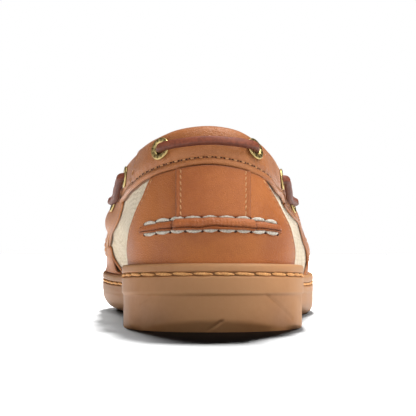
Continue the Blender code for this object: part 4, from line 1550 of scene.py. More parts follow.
@dataclass
class Shell:
    """The hollow upper: cream quarters, leather vamp and lining.

    The joint's lap, the flaps' cover and the start of the flexes are ring places. A flex is its distance from
    there and its depth in millimetres.
    """

    shop: Workshop
    cloth_top: float = 3.02
    joint_lap: float = 0.15
    flap_cover: float = 0.7
    flex_from: float = 21.4
    flexes: tuple[tuple[float, float], ...] = ((4.0, 0.55), (9.5, 0.7), (15.0, 0.5), (21.0, 0.3))
    cloth_low: float = -0.6
    cloth_thickness: float = 0.6
    vamp_low: float = -0.9
    vamp_thickness: float = 1.1
    lining_low: float = -0.75
    lining_thickness: float = 0.85
    pucker_pitch: float = 5.6
    pucker_reach: float = 5.0

    def joint(self, lines: Array, side: int) -> Array:
        """The ring places under the middle of a saddle's foot, where cloth and vamp meet."""
        skin = self.shop.skin
        return 0.5 * (skin.edge_at(SADDLE_BACK[side], lines, side) + skin.edge_at(SADDLE_FRONT, lines, side))

    def build_quarters(self) -> None:
        """The cream cloth round the heel, and the lining leather above it under the collar and flaps."""
        shop, skin = self.shop, self.shop.skin
        lines = lines_between(skin, 8.0, LOW_LINE, self.cloth_top, 1.0)
        left, right = (self.joint(lines, side) + side * self.joint_lap for side in (-1, 1))
        cloth = Panel(shop, left, right, lines, self.cloth_low, self.cloth_thickness, 1.0).build("quarter_cloth")
        shop.finish(cloth, Finish.CLOTH, "cream_textile", "upper")
        lines = lines_between(skin, 8.0, self.cloth_top, 3.95, 1.0)
        left, right = (skin.edge_at(SADDLE_FRONT, lines, side) - side * self.flap_cover for side in (-1, 1))
        top = Panel(shop, left, right, lines, self.cloth_low, self.cloth_thickness, 1.0).build("quarter_top")
        shop.finish(top, Finish.LINING, "lining_leather", "upper")

    def gathers(self, at: Spots) -> Array:
        """The puckers below the hand-sewn seam, deepest round the toe, and the forefoot's bulge."""
        toe = 0.12 + 0.42 * bump(at.u, float(HALF_TURN), 8.5)
        around_run, below = at.flat[..., 0], at.gaps[3]
        wave = np.cos(around_run / self.pucker_pitch * math.tau + 0.6 * wander(around_run / 9, 1.0))
        puckers = toe * (wave - 0.4) * np.exp(-below / self.pucker_reach)
        return puckers - 0.5 * bump(below, 0.0, 0.8) + self.shop.bulge(at.u, at.v)

    def flexing(self) -> list[Crease]:
        """The folds at the ball: a trough and a ridge beside it, four times on each side.

        The medial side's lie on round the toe, where the vamp's flat places run on.
        """
        start_run = self.shop.skin.run_at(np.array([self.flex_from]))[0]
        creases = []
        for side, on in ((1, 0.0), (-1, float(self.shop.skin.runs[-1]))):
            for k, (offset, depth) in enumerate(self.flexes):
                start = side * (start_run + offset)
                creases.append(Crease((start + on, 3.0 + k), (start + side * (5.0 + 2 * k) + on, 20.0 - 2 * k),
                                      depth, 1.5))
                creases.append(Crease((start + side * 2.6 + on, 5.0), (start + side * 6 + on, 15.0),
                                      -0.6 * depth, 1.6))
        return creases

    def build_vamp(self) -> None:
        """The leather wall round the forefoot."""
        lines = lines_between(self.shop.skin, 30.0, LOW_LINE, self.cloth_top, 0.8)
        left, right = self.joint(lines, 1), 2 * HALF_TURN + self.joint(lines, -1)
        panel = Panel(self.shop, left, right, lines, self.vamp_low, self.vamp_thickness, 0.8, creases=self.flexing())
        self.shop.finish(panel.build("vamp", self.gathers), Finish.VAMP, "tan_leather", "upper")

    def build_lining(self) -> None:
        """The lining inside the whole wall."""
        u = np.linspace(0.0, 2.0 * HALF_TURN, 361)
        v = lines_between(self.shop.skin, 8.0, 0.15, 3.97, 1.8)
        obj = laid_grid("lining", self.shop.points(*np.meshgrid(u, v), self.lining_low))
        thicken(obj, self.lining_thickness * MM)
        merge(obj)
        soften(obj)
        self.shop.finish(obj, Finish.LINING, "lining_leather", "upper")

    def build(self) -> None:
        """Builds the three layers."""
        self.build_quarters()
        self.build_vamp()
        self.build_lining()


@dataclass
class Heel:
    """The counter, the strip up its middle and the hand-sewn roll across both. Sizes in millimetres.

    The ends of the roll and of the cords, and the counter seam's inset, are ring places. The roll's fold is
    given in shares of its half width, and roll_measure is the line along which the roll's length is read.
    """

    shop: Workshop
    tab_left: float = -13.2
    tab_right: float = 12.8
    tab_low: float = 40.2
    tab_thickness: float = 1.05
    tab_seam: float = 1.9
    roll_half: float = 2.2
    roll_height: float = 2.1
    roll_middle: float = 37.9
    roll_fall: float = 2.0
    roll_left: float = -6.2
    roll_right: float = 5.65
    cords_left: float = -5.6
    cords_right: float = 5.2
    roll_measure: float = 2.4
    roll_ends: float = 3.2
    roll_blunt: float = 2.6
    roll_off_tab: float = 0.84
    tab_fade: tuple[float, float] = (0.9, 0.35)
    tab_step: float = 0.3
    tab_lift: float = 0.95
    off_tab_drop: float = 0.4
    fold_at: float = -0.42
    fold_half: float = 0.12
    fold_depth: float = 0.75
    gather_height: float = 0.10
    cord_drop: float = 2.45
    cord_bend: float = 0.42
    cord_lift: float = 0.45
    hole_lift: float = 0.02
    seam_inset: float = 0.42
    counter_creases: tuple[Crease, ...] = (
        Crease((-26.0, 12.0), (-15.0, 7.5), 0.18, 2.2),
        Crease((14.0, 8.5), (27.0, 14.0), 0.2, 2.4),
        Crease((25.0, 18.0), (21.0, 30.0), 0.14, 2.0),
        Crease((-22.0, 34.0), (-20.5, 22.0), 0.16, 1.8),
        Crease((-17.0, 33.0), (-16.0, 24.0), -0.12, 2.4),
        Crease((-9.0, 6.0), (9.0, 6.5), -0.12, 4.0),
    )

    def build_counter(self) -> None:
        """The heel panel with its stitched front edges."""
        shop, skin = self.shop, self.shop.skin
        lines = lines_between(skin, 0.0, LOW_LINE, 3.0, 0.7)
        left, right = (skin.edge_at(COUNTER_EDGE[side], lines, side) for side in (-1, 1))
        obj = Panel(shop, left, right, lines, GAP, OVERLAY, creases=self.counter_creases,
                    channels=((0, 1.7, 0.22), (1, 1.7, 0.22))).build("counter_panel")
        shop.finish(obj, Finish.COUNTER, "tan_leather", "counter")
        keep = slice(6, len(lines) - 4)
        for (side, sign), edge in zip(SIDES, (left, right)):
            shop.row(f"counter_stitches_{side}", Stitching.COUNTER, (edge - sign * self.seam_inset)[keep],
                     lines[keep], COUNTER_TOP - 0.12, 0.1)

    def tab_edges(self, lines: Array, x: float) -> Array:
        """The ring places where the tab's side, at x, crosses the lines."""
        u = np.linspace(-8.0, 8.0, 900)
        return np.array([np.interp(x, self.shop.skin.at(u, line, COUNTER_TOP)[:, 0], u) for line in lines])

    @staticmethod
    def turned_edge(at: Spots) -> Array:
        """A ridge along each side of the strip, inside the edge, and a soft swell in the middle."""
        side = np.minimum(at.gaps[0], at.gaps[1])
        return 0.22 * bump(side, 0.95, 0.55) - 0.32 * bump(side, 1.95, 0.4) + 0.05 * wander(at.flat[..., 1] / 2, 2.0)

    def build_tab(self) -> None:
        """The bare strip, with its turned edges."""
        shop, skin = self.shop, self.shop.skin
        low = skin.lines_at([0.0], [self.tab_low], np.linspace(2.0, 3.0, 200))[0]
        lines = lines_between(skin, 0.0, low, 2.985, 0.6)
        left, right = self.tab_edges(lines, self.tab_left), self.tab_edges(lines, self.tab_right)
        obj = Panel(shop, left, right, lines, COUNTER_TOP, self.tab_thickness, 0.45,
                    edge_radius=0.5).build("tab", self.turned_edge)
        shop.finish(obj, Finish.TAB, "tan_leather", "back_tab")
        keep = slice(2, len(lines) - 1)
        for (side, sign), edge in zip(SIDES, (self.tab_left, self.tab_right)):
            seam = self.tab_edges(lines, edge - sign * self.tab_seam)
            shop.row(f"tab_stitches_{side}", Stitching.TAB, seam[keep], lines[keep], COUNTER_TOP + 0.82, -0.28 * sign)

    def roll_line(self, u: Array, drop: float) -> Array:
        """Line numbers of the roll's middle, moved up by drop millimetres."""
        spread = (u / 5.6) ** 2
        heights = self.roll_middle - self.roll_fall * spread + drop * (1.0 - 0.25 * spread)
        heights = heights + 0.12 * wander(u * 2.2, 0.7)
        return self.shop.skin.lines_at(u, heights, np.linspace(1.0, 3.0, 240))

    def build_roll(self) -> None:
        """The raised seam: two lips pressed together, gathered by the cords."""
        shop, skin = self.shop, self.shop.skin
        u = np.linspace(self.roll_left, self.roll_right, 210)
        offsets = np.linspace(-self.roll_half, self.roll_half, 27)[:, None]
        low, high = self.roll_line(u, -2.0), self.roll_line(u, 2.0)
        across, run = skin.at(u, self.roll_measure)[:, 0], skin.run_at(u, self.roll_measure)
        left_fade, right_fade = self.tab_fade
        padded = np.clip((across - self.tab_left) / left_fade, 0, 1)
        padded = padded * np.clip((self.tab_right - across) / right_fade, 0, 1)
        reach = offsets * (self.roll_off_tab + (1 - self.roll_off_tab) * padded)
        v = low + (high - low) * ((reach + 2.0) / 4.0)
        ends = np.minimum(rounded(run - run[0], self.roll_ends), rounded(run[-1] - run, self.roll_ends))
        share = offsets / self.roll_half
        fold_at = self.fold_at + 0.07 * wander(run / 3.1, 0.4)
        dome = np.sqrt(np.clip(1 - np.abs(share) ** self.roll_blunt, 0, 1))
        split = bump(share, fold_at, self.fold_half)
        gather = self.gather_height * np.cos(run / Stitching.KICKER.value.pitch * math.tau) * (1 - dome * 0.6)
        lift = COUNTER_TOP - 0.15 + ends * (self.roll_height * dome - self.fold_depth * split + gather)
        lift = lift + (0.06 * wander(run / 1.7, 2.2) + 0.05 * np.cos(run * 5.2)) * dome
        lift = lift + (self.tab_lift * padded - self.off_tab_drop) * np.sqrt(dome) * ends
        step = bump(across, self.tab_left, 0.5) + bump(across, self.tab_right, 0.4)
        lift = lift - self.tab_step * step * dome
        obj = laid_grid("kicker_roll", shop.points(u, v, lift))
        # Painted shade in the fold between the lips, along the roll's edges and at the steps by the tab.
        set_values(obj, "fold", np.clip(0.8 * split * ends + 0.5 * (1 - dome) ** 2 + 0.6 * step, 0, 1))
        set_values(obj, "edge", 0.35 * bump(share - fold_at, 0.26, self.fold_half))
        thicken(obj, 0.5 * MM)
        soften(obj, 70.0)
        shop.finish(obj, Finish.TAB, "tan_leather", "kicker_seam")
        for side, sign in (("upper", 1), ("lower", -1)):
            self.sew_cords(side, sign * self.cord_drop, sign * self.cord_bend)

    def sew_cords(self, side: str, drop: float, bend: float) -> None:
        """One row of thick cords, arched away from the roll, with painted shade for the hole between each two."""
        shop = self.shop
        u = np.linspace(self.cords_left, self.cords_right, 300)
        v = self.roll_line(u, drop)
        lift = COUNTER_TOP + self.cord_lift
        shop.row(f"kicker_cords_{side}", Stitching.KICKER, u, v, lift, 0.0, bend)
        path = shop.points(u, v, lift)
        index, pitch = spaced(path, Stitching.KICKER.value.pitch * MM)
        between = np.interp(np.arange(len(index) + 1) * float(pitch), runs_along(path), np.arange(len(path)))
        _, along, normals = row_at(path, shop.skin.out(u, v), between)
        centres = read_path(shop.points(u, v, COUNTER_TOP + self.hole_lift), between)
        shop.sew(f"kicker_holes_{side}", Stitching.KICKER_HOLE, (centres, along, normals))

    def build(self) -> None:
        """Builds the heel's pieces."""
        self.build_counter()
        self.build_tab()
        self.build_roll()


@dataclass
class Collar:
    """The padded collar round the opening: a long heel piece lapped over a short front one.

    The lap and the end are ring places, and the other sizes are millimetres.
    """

    shop: Workshop
    lap: float = -9.1
    end: float = 15.3
    pad: float = 3.0
    front_pad: float = 2.0
    inner_pad: float = 2.6
    rise: float = 3.2
    end_taper: float = 1.2
    seam_line: float = 3.215
    seam_lift: float = 1.42
    pucker_height: float = 0.09
    pucker_pitch: float = 3.1
    sag_height: float = 0.12
    sag_pitch: float = 6.5
    fill_stops: tuple[float, ...] = (0.0, 0.34, 0.67)

    def controls(self, u: Array, front: bool) -> tuple[list[Array], Array]:
        """The section's control places for every station.

        Args:
            u: the stations' ring places.
            front: whether this is the thinner front piece.

        Returns:
            Line numbers, lifts and rises, each (stations, controls), and the painted shade at each control.
        """
        pad = np.full(len(u), self.front_pad) if front else np.interp(u, (7.5, 12.0), (self.pad, self.front_pad))
        full = np.interp(self.end - np.abs(u), (0.0, self.end_taper), (0.45, 1.0))
        pad = np.maximum(pad * full, GAP + 0.9)
        under = -(WALL + GAP)
        inside = under - self.inner_pad * full
        rise = self.rise * full
        run = self.shop.skin.run_at(u)
        pucker = self.pucker_height * np.sin(run / self.pucker_pitch * math.tau)
        sag = self.sag_height * wander(run / self.sag_pitch, 1.3)
        # Each row is (line, lift, rise, painted shade): shade along the lower edge, at the stitch line and where the
        # inner pad meets the lining.
        rows = (
            (3.05, GAP, 0.0, 0.3),
            (3.01, 0.8, 0.0, 0.2),
            (3.025, 1.2 + 0.3 * full, 0.0, 0.0),
            (3.10, 1.45 + 0.42 * full, 0.0, 0.0),
            (3.17, 1.35 + 0.25 * full + pucker, 0.0, 0.05),
            (self.seam_line, 1.22 + 0.12 * full + 0.3 * pucker, 0.0, 0.42),
            (3.25, np.maximum(0.62 * pad, 1.3) - pucker, 0.0, 0.1),
            (3.38, 0.88 * pad - 0.5 * pucker + sag, 0.0, 0.0),
            (3.6, 0.99 * pad + sag, 0.0, 0.0),
            (3.85, pad + 0.5 * sag, 0.0, 0.0),
            (4.0, 0.93 * pad, 0.28 * rise, 0.0),
            (4.0, 0.68 * pad, 0.68 * rise, 0.0),
            (4.0, 0.22 * pad, 0.96 * rise, 0.0),
            (4.0, under * 0.45, 1.02 * rise, 0.0),
            (4.0, under + 0.15 * (inside - under), 0.92 * rise, 0.0),
            (4.0, under + 0.75 * (inside - under), 0.55 * rise, 0.0),
            (3.95, inside, 0.0, 0.0),
            (3.75, inside, 0.0, 0.0),
            (3.58, under + 0.7 * (inside - under), 0.0, 0.1),
            (3.52, under + 0.15 * (inside - under), 0.0, 0.5),
            (3.6, under, 0.0, 0.5),
            (3.97, under, 0.0, 0.0),
            (4.0, under + 0.1, GAP, 0.0),
            (4.0, GAP - 0.1, GAP, 0.0),
            (3.97, GAP, 0.0, 0.0),
            (3.5, GAP, 0.0, 0.0),
        )
        columns = [np.stack([np.broadcast_to(row[k], u.shape) for row in rows], axis=1) for k in range(3)]
        return columns, np.array([row[3] for row in rows])

    def build_piece(self, name: str, node: str, start: float, stop: float, stations: int, front: bool) -> None:
        """One length of collar with closed ends.

        Args:
            name: the piece's name.
            node: the solid that it stands for.
            start: its first ring place.
            stop: its last ring place.
            stations: the number of sections.
            front: whether it is the thinner front piece.
        """
        u = np.linspace(start, stop, stations)
        (v, lift, rise), folds = self.controls(u, front)
        drawn = self.shop.points(u[:, None], v, lift, rise)
        count = v.shape[1]
        rings, dark = [], []
        for k in range(count):
            four = [drawn[:, (k + j) % count] / MM for j in (-1, 0, 1, 2)]
            for t in self.fill_stops:
                rings.append(centripetal(*four, t) * MM)
                dark.append(folds[k] * (1 - t) + folds[(k + 1) % count] * t)
        obj = laid_grid(name, np.stack([*rings, rings[0]], axis=1))
        set_values(obj, "fold", np.tile([*dark, dark[0]], stations))
        merge(obj)
        cap(obj)
        soften(obj, 60.0)
        self.shop.finish(obj, Finish.COLLAR, "tan_leather", node)

    def build(self) -> None:
        """Builds both lengths and their stitches."""
        shop = self.shop
        self.build_piece("collar_heel", "collar", self.lap - 0.12, self.end, 250, False)
        self.build_piece("collar_side", "collar_front", -self.end, self.lap + 0.4, 60, True)
        for name, start, stop in (("heel", self.lap + 0.35, self.end - 0.3),
                                  ("side", -self.end + 0.3, self.lap - 0.2)):
            u, v = np.linspace(start, stop, 400), np.full(400, self.seam_line)
            shop.row(f"collar_stitches_{name}", Stitching.COLLAR, u, v, self.seam_lift)
            # Dark pieces of painted shade in the needle holes.
            shop.row(f"collar_holes_{name}", Stitching.COLLAR_HOLE, u, v, self.seam_lift - 0.02)
        shop.row("collar_lap_stitches", Stitching.LAP, np.full(60, self.lap + 0.28), np.linspace(3.12, 3.9, 60), 2.95)


@dataclass
class Saddles:
    """The side panels from the top line to the sole, with bound back edges and eyelet flaps. Sizes in millimetres.

    The collar's end and the insets of the seams and of the binding are ring places.
    """

    shop: Workshop
    low: float = 0.45
    thickness: float = 0.85
    collar_end: float = 15.38
    seam_inset: float = 0.42
    binding_inset: float = 0.03
    binding_lift: float = 0.35
    binding_radius: float = 0.5

    def creases(self, sign: int) -> tuple[Crease, ...]:
        """The folds where the side flexes."""
        a, b, c, d = self.shop.skin.run_at(np.array([15.0, 18.0, 21.0, 23.0]) * sign)
        return (
            Crease((a, 30.0), (b, 16.0), 0.35, 2.0),
            Crease((b, 34.0), (c, 20.0), 0.4, 2.4),
            Crease((c, 26.0), (d, 6.0), 0.3, 2.0),
            Crease((b, 26.0), (c, 8.0), -0.3, 2.6),
        )

    def hang(self, at: Spots) -> Array:
        """The forefoot's bulge, where a panel reaches it."""
        return self.shop.bulge(at.u, at.v)

    def build_side(self, side: str, sign: int) -> None:
        """One panel with its binding and stitches.

        Args:
            side: medial or lateral.
            sign: -1 or 1.
        """
        shop, skin = self.shop, self.shop.skin
        lines = lines_between(skin, 20.0 * sign, LOW_LINE, 3.995, 0.8)
        back = skin.edge_at(SADDLE_BACK[sign], lines, sign)
        back = sign * np.maximum(np.abs(back), np.where(lines > 3.0, self.collar_end, 0.0))
        front = skin.edge_at(SADDLE_FRONT, lines, sign)
        left, right = (back, front) if sign > 0 else (front, back)
        panel = Panel(shop, left, right, lines, self.low, self.thickness, 0.8, creases=self.creases(sign),
                      channels=((0, 1.9, 0.2), (1, 1.9, 0.2), (3, 1.9, 0.18)))
        shop.finish(panel.build(f"saddle_panel_{side}", self.hang), Finish.SADDLE, "tan_leather", f"saddle_{side}")
        inner = sign * self.seam_inset
        keep = slice(4, len(lines) - 5)
        for label, edge, shift in (("back", back, inner), ("front", front, -inner),
                                   ("front_inner", front, -2 * inner)):
            shop.row(f"saddle_stitches_{label}_{side}", Stitching.SADDLE, (edge + shift)[keep], lines[keep],
                     self.low + self.thickness - 0.1)
        bound = slice(0, len(lines) - 8)
        path = shop.points((back - sign * self.binding_inset)[bound], lines[bound], self.low + self.binding_lift)
        binding = tube(f"saddle_binding_{side}", path, round_section(self.binding_radius * MM, 12, 1.3),
                       skin.out(back[bound], lines[bound]))
        shop.finish(binding, Finish.BINDING, "tan_leather")

    def build(self) -> None:
        """Builds both sides."""
        for side, sign in SIDES:
            self.build_side(side, sign)


# The tongue's middle line: (distance forward of the heel's back, height, half width).
TONGUE_LINE = (
    (92.0, 73.3, 12.0), (95.0, 73.0, 18.5), (103.0, 71.2, 21.5), (116.0, 67.6, 20.5), (131.0, 63.2, 19.5),
    (146.0, 58.3, 19.0), (160.0, 53.5, 18.0), (171.0, 50.9, 15.0))


@dataclass
class Plug:
    """The apron on the forefoot with its hand-sewn seam, and the tongue under it. Sizes in millimetres."""

    shop: Workshop
    roll: float = 1.15
    roll_at: float = 1.5
    lip_half: float = 1.25
    lip_split: float = 0.32
    gather_height: float = 0.14
    outer_line: float = 2.97
    outer_lift: float = 0.55
    inner_cords: float = 3.9
    inner_lift: float = 1.85
    cord_bend: float = 0.3
    tongue_thickness: float = 2.4
    tongue_curl: float = 0.0088
    tongue_offset: float = -1.2
    tongue_seam: float = 2.4

    def seam_roll(self, at: Spots) -> Array:
        """The raised lips along the seam, and soft dishes in the plug."""
        gap, run = at.gaps[2], at.flat[..., 0]
        gather = self.gather_height * np.cos(run / Stitching.SEAM.value.pitch * math.tau) * bump(gap, 4.5, 2.0)
        lips = self.roll * (bump(gap, self.roll_at, self.lip_half) - 0.55 * bump(gap, self.roll_at, self.lip_split))
        return lips - 0.35 * bump(gap, 4.0, 0.7) + gather + 0.12 * wander(run / 14, 0.9) * (gap > 6)

    def build_apron(self) -> None:
        """The plug and the cords either side of its seam."""
        shop, skin = self.shop, self.shop.skin
        lines = lines_between(skin, 30.0, 3.005, 3.985, 0.7)
        right = 2 * HALF_TURN + skin.edge_at(APRON_BACK, lines, -1)
        left = skin.edge_at(APRON_BACK, lines, 1)
        obj = Panel(shop, left, right, lines, GAP, OVERLAY, 0.9).build("apron_plug", self.seam_roll)
        shop.finish(obj, Finish.COUNTER, "tan_leather", "apron")
        u = np.linspace(left[0] + 0.8, right[0] - 0.8, 900)
        shop.row("seam_cords_outer", Stitching.SEAM, u, np.full(len(u), self.outer_line), self.outer_lift, 0.0,
                 self.cord_bend)
        fine = np.linspace(3.0, 3.6, 80)
        inner = skin.read(skin.heights, u, np.full(len(u), 3.005)) + self.inner_cords
        table = skin.read(skin.heights, *np.meshgrid(u, fine))
        v = np.array([np.interp(height, table[:, k], fine) for k, height in enumerate(inner)])
        shop.row("seam_cords_inner", Stitching.SEAM, u, v, self.inner_lift, 0.0, -self.cord_bend)

    def build_tongue(self) -> None:
        """The curled tongue with its rounded end and a seam groove along its edge."""
        shop = self.shop
        knots = np.array(TONGUE_LINE)
        length = knots[-1, 0] - knots[0, 0]
        s = (knots[0, 0] + shares(length, 1.0) * length)[:, None]
        half, crown = (smooth(s, knots[:, [0, column]]) for column in (2, 1))
        reach = (2 * shares(40.0, 0.9) - 1) * half
        gap = np.minimum(half - np.abs(reach), s - s[0])
        seam = bump(gap, self.tongue_seam, 0.5)
        top = crown - self.tongue_curl * reach**2 - 0.8 * (1 - rounded(gap, 0.9)) - 0.22 * seam
        top = top + 0.25 * bump(gap, 9.0, 5.0)
        points = np.stack([reach + self.tongue_offset, np.broadcast_to(s, reach.shape), top], axis=-1)
        obj = laid_grid("tongue_piece", shop.place.metres(points))
        set_values(obj, "edge", np.exp(-gap / 0.6))
        # Painted shade in the seam groove.
        set_values(obj, "fold", 0.3 * seam)
        thicken(obj, self.tongue_thickness * 0.9 * MM)
        merge(obj)
        soften(obj, 60.0)
        shop.finish(obj, Finish.SADDLE, "tan_leather", "tongue")

    def build(self) -> None:
        """Builds the plug and the tongue."""
        self.build_apron()
        self.build_tongue()


# ---------------------------------------------------------------- eyelets and laces

# Places on the skin as (ring place, line, lift in millimetres), on the lateral side.
EYELETS = {"rear": (4.45, 3.68, 3.35), "side_back": (12.5, 3.7, 1.95), "side_front": (16.4, 2.95, 1.4),
           "throat_lower": (24.2, 3.84, 2.0), "throat_upper": (21.2, 3.84, 2.0)}
REAR_LACE = ((4.5, 3.68, 3.15), (4.36, 3.665, 4.1), (4.08, 3.65, 5.0), (3.6, 3.635, 5.6), (2.9, 3.62, 5.9),
             (1.6, 3.6, 6.0))
REAR_MIDDLE = (0.0, 3.59, 5.95)
SIDE_LACE = ((12.5, 3.7, 2.1), (12.52, 3.7, 2.8), (12.6, 3.68, 3.7), (13.1, 3.58, 3.95), (14.0, 3.42, 3.8),
             (15.0, 3.22, 3.5), (15.8, 3.06, 3.3), (16.25, 2.975, 3.2), (16.38, 2.955, 2.6), (16.4, 2.95, 1.5))

# How the throat lace climbs out of an eyelet: (lines further up, lift above the eyelet).
THROAT_CLIMB = ((0.0, 0.1), (0.0, 1.3), (0.02, 3.0))


def threaded(knots: Array, counts: Sequence[int]) -> tuple[Array, list[tuple[int, float]]]:
    """Runs a smooth path through knots.

    Args:
        knots: (n, 3) points.
        counts: the number of points in each of the n - 1 stretches.

    Returns:
        The path, and each point's stretch and share of it, without the last point's.
    """
    ghost = run_on(knots)
    stops = [(k, t) for k, count in enumerate(counts) for t in np.linspace(0, 1, count, endpoint=False)]
    return np.array([*(centripetal(*ghost[k:k + 4], t) for k, t in stops), knots[-1]]), stops


@dataclass
class Lacing:
    """The brass eyelets and the rawhide lace that runs through them. Sizes in millimetres."""

    shop: Workshop
    rim: float = 4.15
    hole: float = 2.1
    dimples: int = 12
    dimple_ring: float = 3.28
    dimple_depth: float = 0.14
    lace: float = 1.5
    lace_square: float = 1.5
    lace_flat: float = 0.93
    lace_cell: float = 0.55
    throat_line: float = 3.86
    throat_lift: float = 5.0

    def eyelet_form(self) -> tuple[Array, Faces, Array]:
        """Models one eyelet: a rolled ring round a dish painted dark as shade in the hole, with small stamped
        dimples.

        Returns:
            Its points in millimetres, its faces, and the tarnish and painted shade of each point.
        """
        radius, height = self.rim - 0.3, 0.0
        deselect()
        bpy.ops.mesh.primitive_circle_add(vertices=48, radius=radius, fill_type="NGON")
        steps = ((self.rim, 0.28), (self.rim - 0.03, 0.5), (4.0, 0.7), (3.8, 0.8), (3.55, 0.84), (3.0, 0.86),
                 (2.6, 0.82), (2.32, 0.7), (self.hole, 0.45), (self.hole - 0.04, 0.1), (1.5, 0.02))
        with editing():
            for wide, high in steps:
                bpy.ops.mesh.extrude_region_move(TRANSFORM_OT_translate={"value": (0.0, 0.0, high - height)})
                scale = wide / radius
                bpy.ops.transform.resize(value=(scale, scale, 1.0), center_override=(0.0, 0.0, high))
                radius, height = wide, high
            bpy.ops.mesh.select_all(action="SELECT")
            bpy.ops.mesh.remove_doubles(threshold=1e-5)
            bpy.ops.mesh.normals_make_consistent(inside=False)
        points, faces = taken_apart(bpy.context.object)
        reach = np.linalg.norm(points[:, :2], axis=1)
        turn = np.arctan2(points[:, 1], points[:, 0])
        mark = np.clip(np.cos(turn * self.dimples) * 2.0 - 0.6, 0, 1) * bump(reach, self.dimple_ring, 0.4)
        points[:, 2] -= self.dimple_depth * mark
        # Tarnish in the stamped marks; painted shade in the dish inside the hole, standing in for the open hole, and
        # darker towards the base.
        tarnish_and_shade = np.clip((reach < self.hole - 0.02) * 1.0 + 1.6 * mark + 0.5 * bump(points[:, 2], 0.0, 0.2), 0, 1)
        return points, faces, tarnish_and_shade

    def build_eyelet(self, name: str, form: tuple[Array, Faces, Array], node: str, place: Vec) -> None:
        """Sets one eyelet on the skin.

        Args:
            name: the piece's name.
            form: the eyelet's points, faces, and tarnish and painted shade.
            node: the solid that it stands for.
            place: its ring place, line and lift.
        """
        shop = self.shop
        u, v, lift = place
        up = shop.skin.out(np.array([u]), np.array([v]))[0]
        side = unit(np.cross(up, np.array([0.0, 0.0, 1.0])))
        top = np.cross(side, up)
        shape, faces, tarnish_and_shade = form
        points = shop.skin.spot(u, v, lift) + side * shape[:, :1] + top * shape[:, 1:2] + up * shape[:, 2:]
        obj = body_from(name, shop.place.metres(points), faces)
        set_values(obj, "fold", tarnish_and_shade)
        merge(obj)
        soften(obj, 40.0)
        shop.finish(obj, Finish.BRASS, "brass", node)

    def cord(self, name: str, path: Array, ups: Array) -> bpy.types.Object:
        """A length of the lace along a path in millimetres."""
        section = round_section(self.lace * MM, 20, self.lace_square, self.lace_flat)
        return tube(name, self.shop.place.metres(path), section, ups)

    def build_lace(self, name: str, node: str, stops: Sequence[Vec]) -> None:
        """Runs one visible length of lace through (u, v, lift) stops.

        Args:
            name: the piece's name.
            node: the solid that it stands for.
            stops: places on the skin with their lifts.
        """
        skin = self.shop.skin
        u, v, lift = np.array(stops, dtype=float).T
        knots, outs = skin.at(u, v, lift), skin.out(u, v)
        lengths = np.linalg.norm(np.diff(knots, axis=0), axis=1)
        path, spots = threaded(knots, [max(4, int(length / self.lace_cell)) for length in lengths])
        ups = [(1 - t) * outs[k] + t * outs[k + 1] for k, t in spots]
        ups = unit(np.array([*ups, ups[-1]]))
        run = runs_along(path)
        inside = np.clip(np.minimum(run, run[-1] - run) / 6, 0, 1)
        obj = self.cord(name, path + ups * (0.10 * wander(run / 2.6, 1.7) * inside)[:, None], ups)
        # Painted shade on the lace's underside, darker where it faces down.
        turned = np.array([vertex.normal.z for vertex in obj.data.vertices])
        set_values(obj, "fold", 0.75 * np.clip(0.1 - turned, 0, 1) ** 0.7)
        self.shop.finish(obj, Finish.RAWHIDE, "rawhide", node)

    def build_crossing(self, name: str, sign: int, over: float) -> None:
        """One length of lace from a lower eyelet over the tongue to the upper one across.

        Args:
            name: the piece's name.
            sign: the lower eyelet's side.
            over: how far its middle stands above its ends, in millimetres.
        """
        skin = self.shop.skin
        climbs, places = [], []
        for label, way in (("throat_lower", sign), ("throat_upper", -sign)):
            u, v, lift = EYELETS[label]
            places.append(way * u)
            climbs.append([skin.spot(way * u, v + on, lift + up) for on, up in THROAT_CLIMB])
        middle = skin.at(np.array(places), self.throat_line, self.throat_lift).mean(axis=0)
        middle = middle + np.array([0.0, 0.0, over])
        knots = np.array([*climbs[0], middle, *climbs[1][::-1]])
        path, _ = threaded(knots, [14] * (len(knots) - 1))
        obj = self.cord(name, path, np.tile([0.0, -0.3, 1.0], (len(path), 1)))
        self.shop.finish(obj, Finish.RAWHIDE, "rawhide", "lace_throat")

    def build(self) -> None:
        """Builds every eyelet and lace."""
        form = self.eyelet_form()
        medial = [(-u, v, lift) for u, v, lift in REAR_LACE]
        self.build_lace("lace_heel", "lace_rear", [*medial, REAR_MIDDLE, *REAR_LACE[::-1]])
        for side, sign in SIDES:
            for label, (u, v, lift) in EYELETS.items():
                self.build_eyelet(f"eyelet_ring_{label}_{side}", form, f"eyelet_{label}_{side}", (sign * u, v, lift))
            self.build_lace(f"lace_side_{side}", f"lace_{side}", [(sign * u, v, lift) for u, v, lift in SIDE_LACE])
        self.build_crossing("lace_throat_over", 1, 4.3)
        self.build_crossing("lace_throat_under", -1, 3.3)


# ---------------------------------------------------------------- the studio


@dataclass(frozen=True)
class Lamp:
    """A soft light: its place and size in metres, its power in watts, what it aims at and what it lights."""

    name: str
    place: Vec
    size: tuple[float, float]
    power: float
    aim: Vec = (0.0, -0.1, 0.04)
    for_floor: bool = False

    def build(self, floor: bpy.types.Object) -> None:
        """Hangs the lamp, for the floor alone or for all but the floor."""
        bpy.ops.object.light_add(type="AREA", location=self.place)
        light = bpy.context.object
        light.name = self.name
        light.data.energy = self.power
        light.data.shape = "RECTANGLE"
        light.data.size, light.data.size_y = self.size
        light.rotation_euler = (Vector(self.aim) - Vector(self.place)).to_track_quat("-Z", "Y").to_euler()
        group = bpy.data.collections.new(f"{self.name}_receivers")
        group.objects.link(floor)
        light.light_linking.receiver_collection = group
        group.collection_objects[0].light_linking.link_state = "INCLUDE" if self.for_floor else "EXCLUDE"


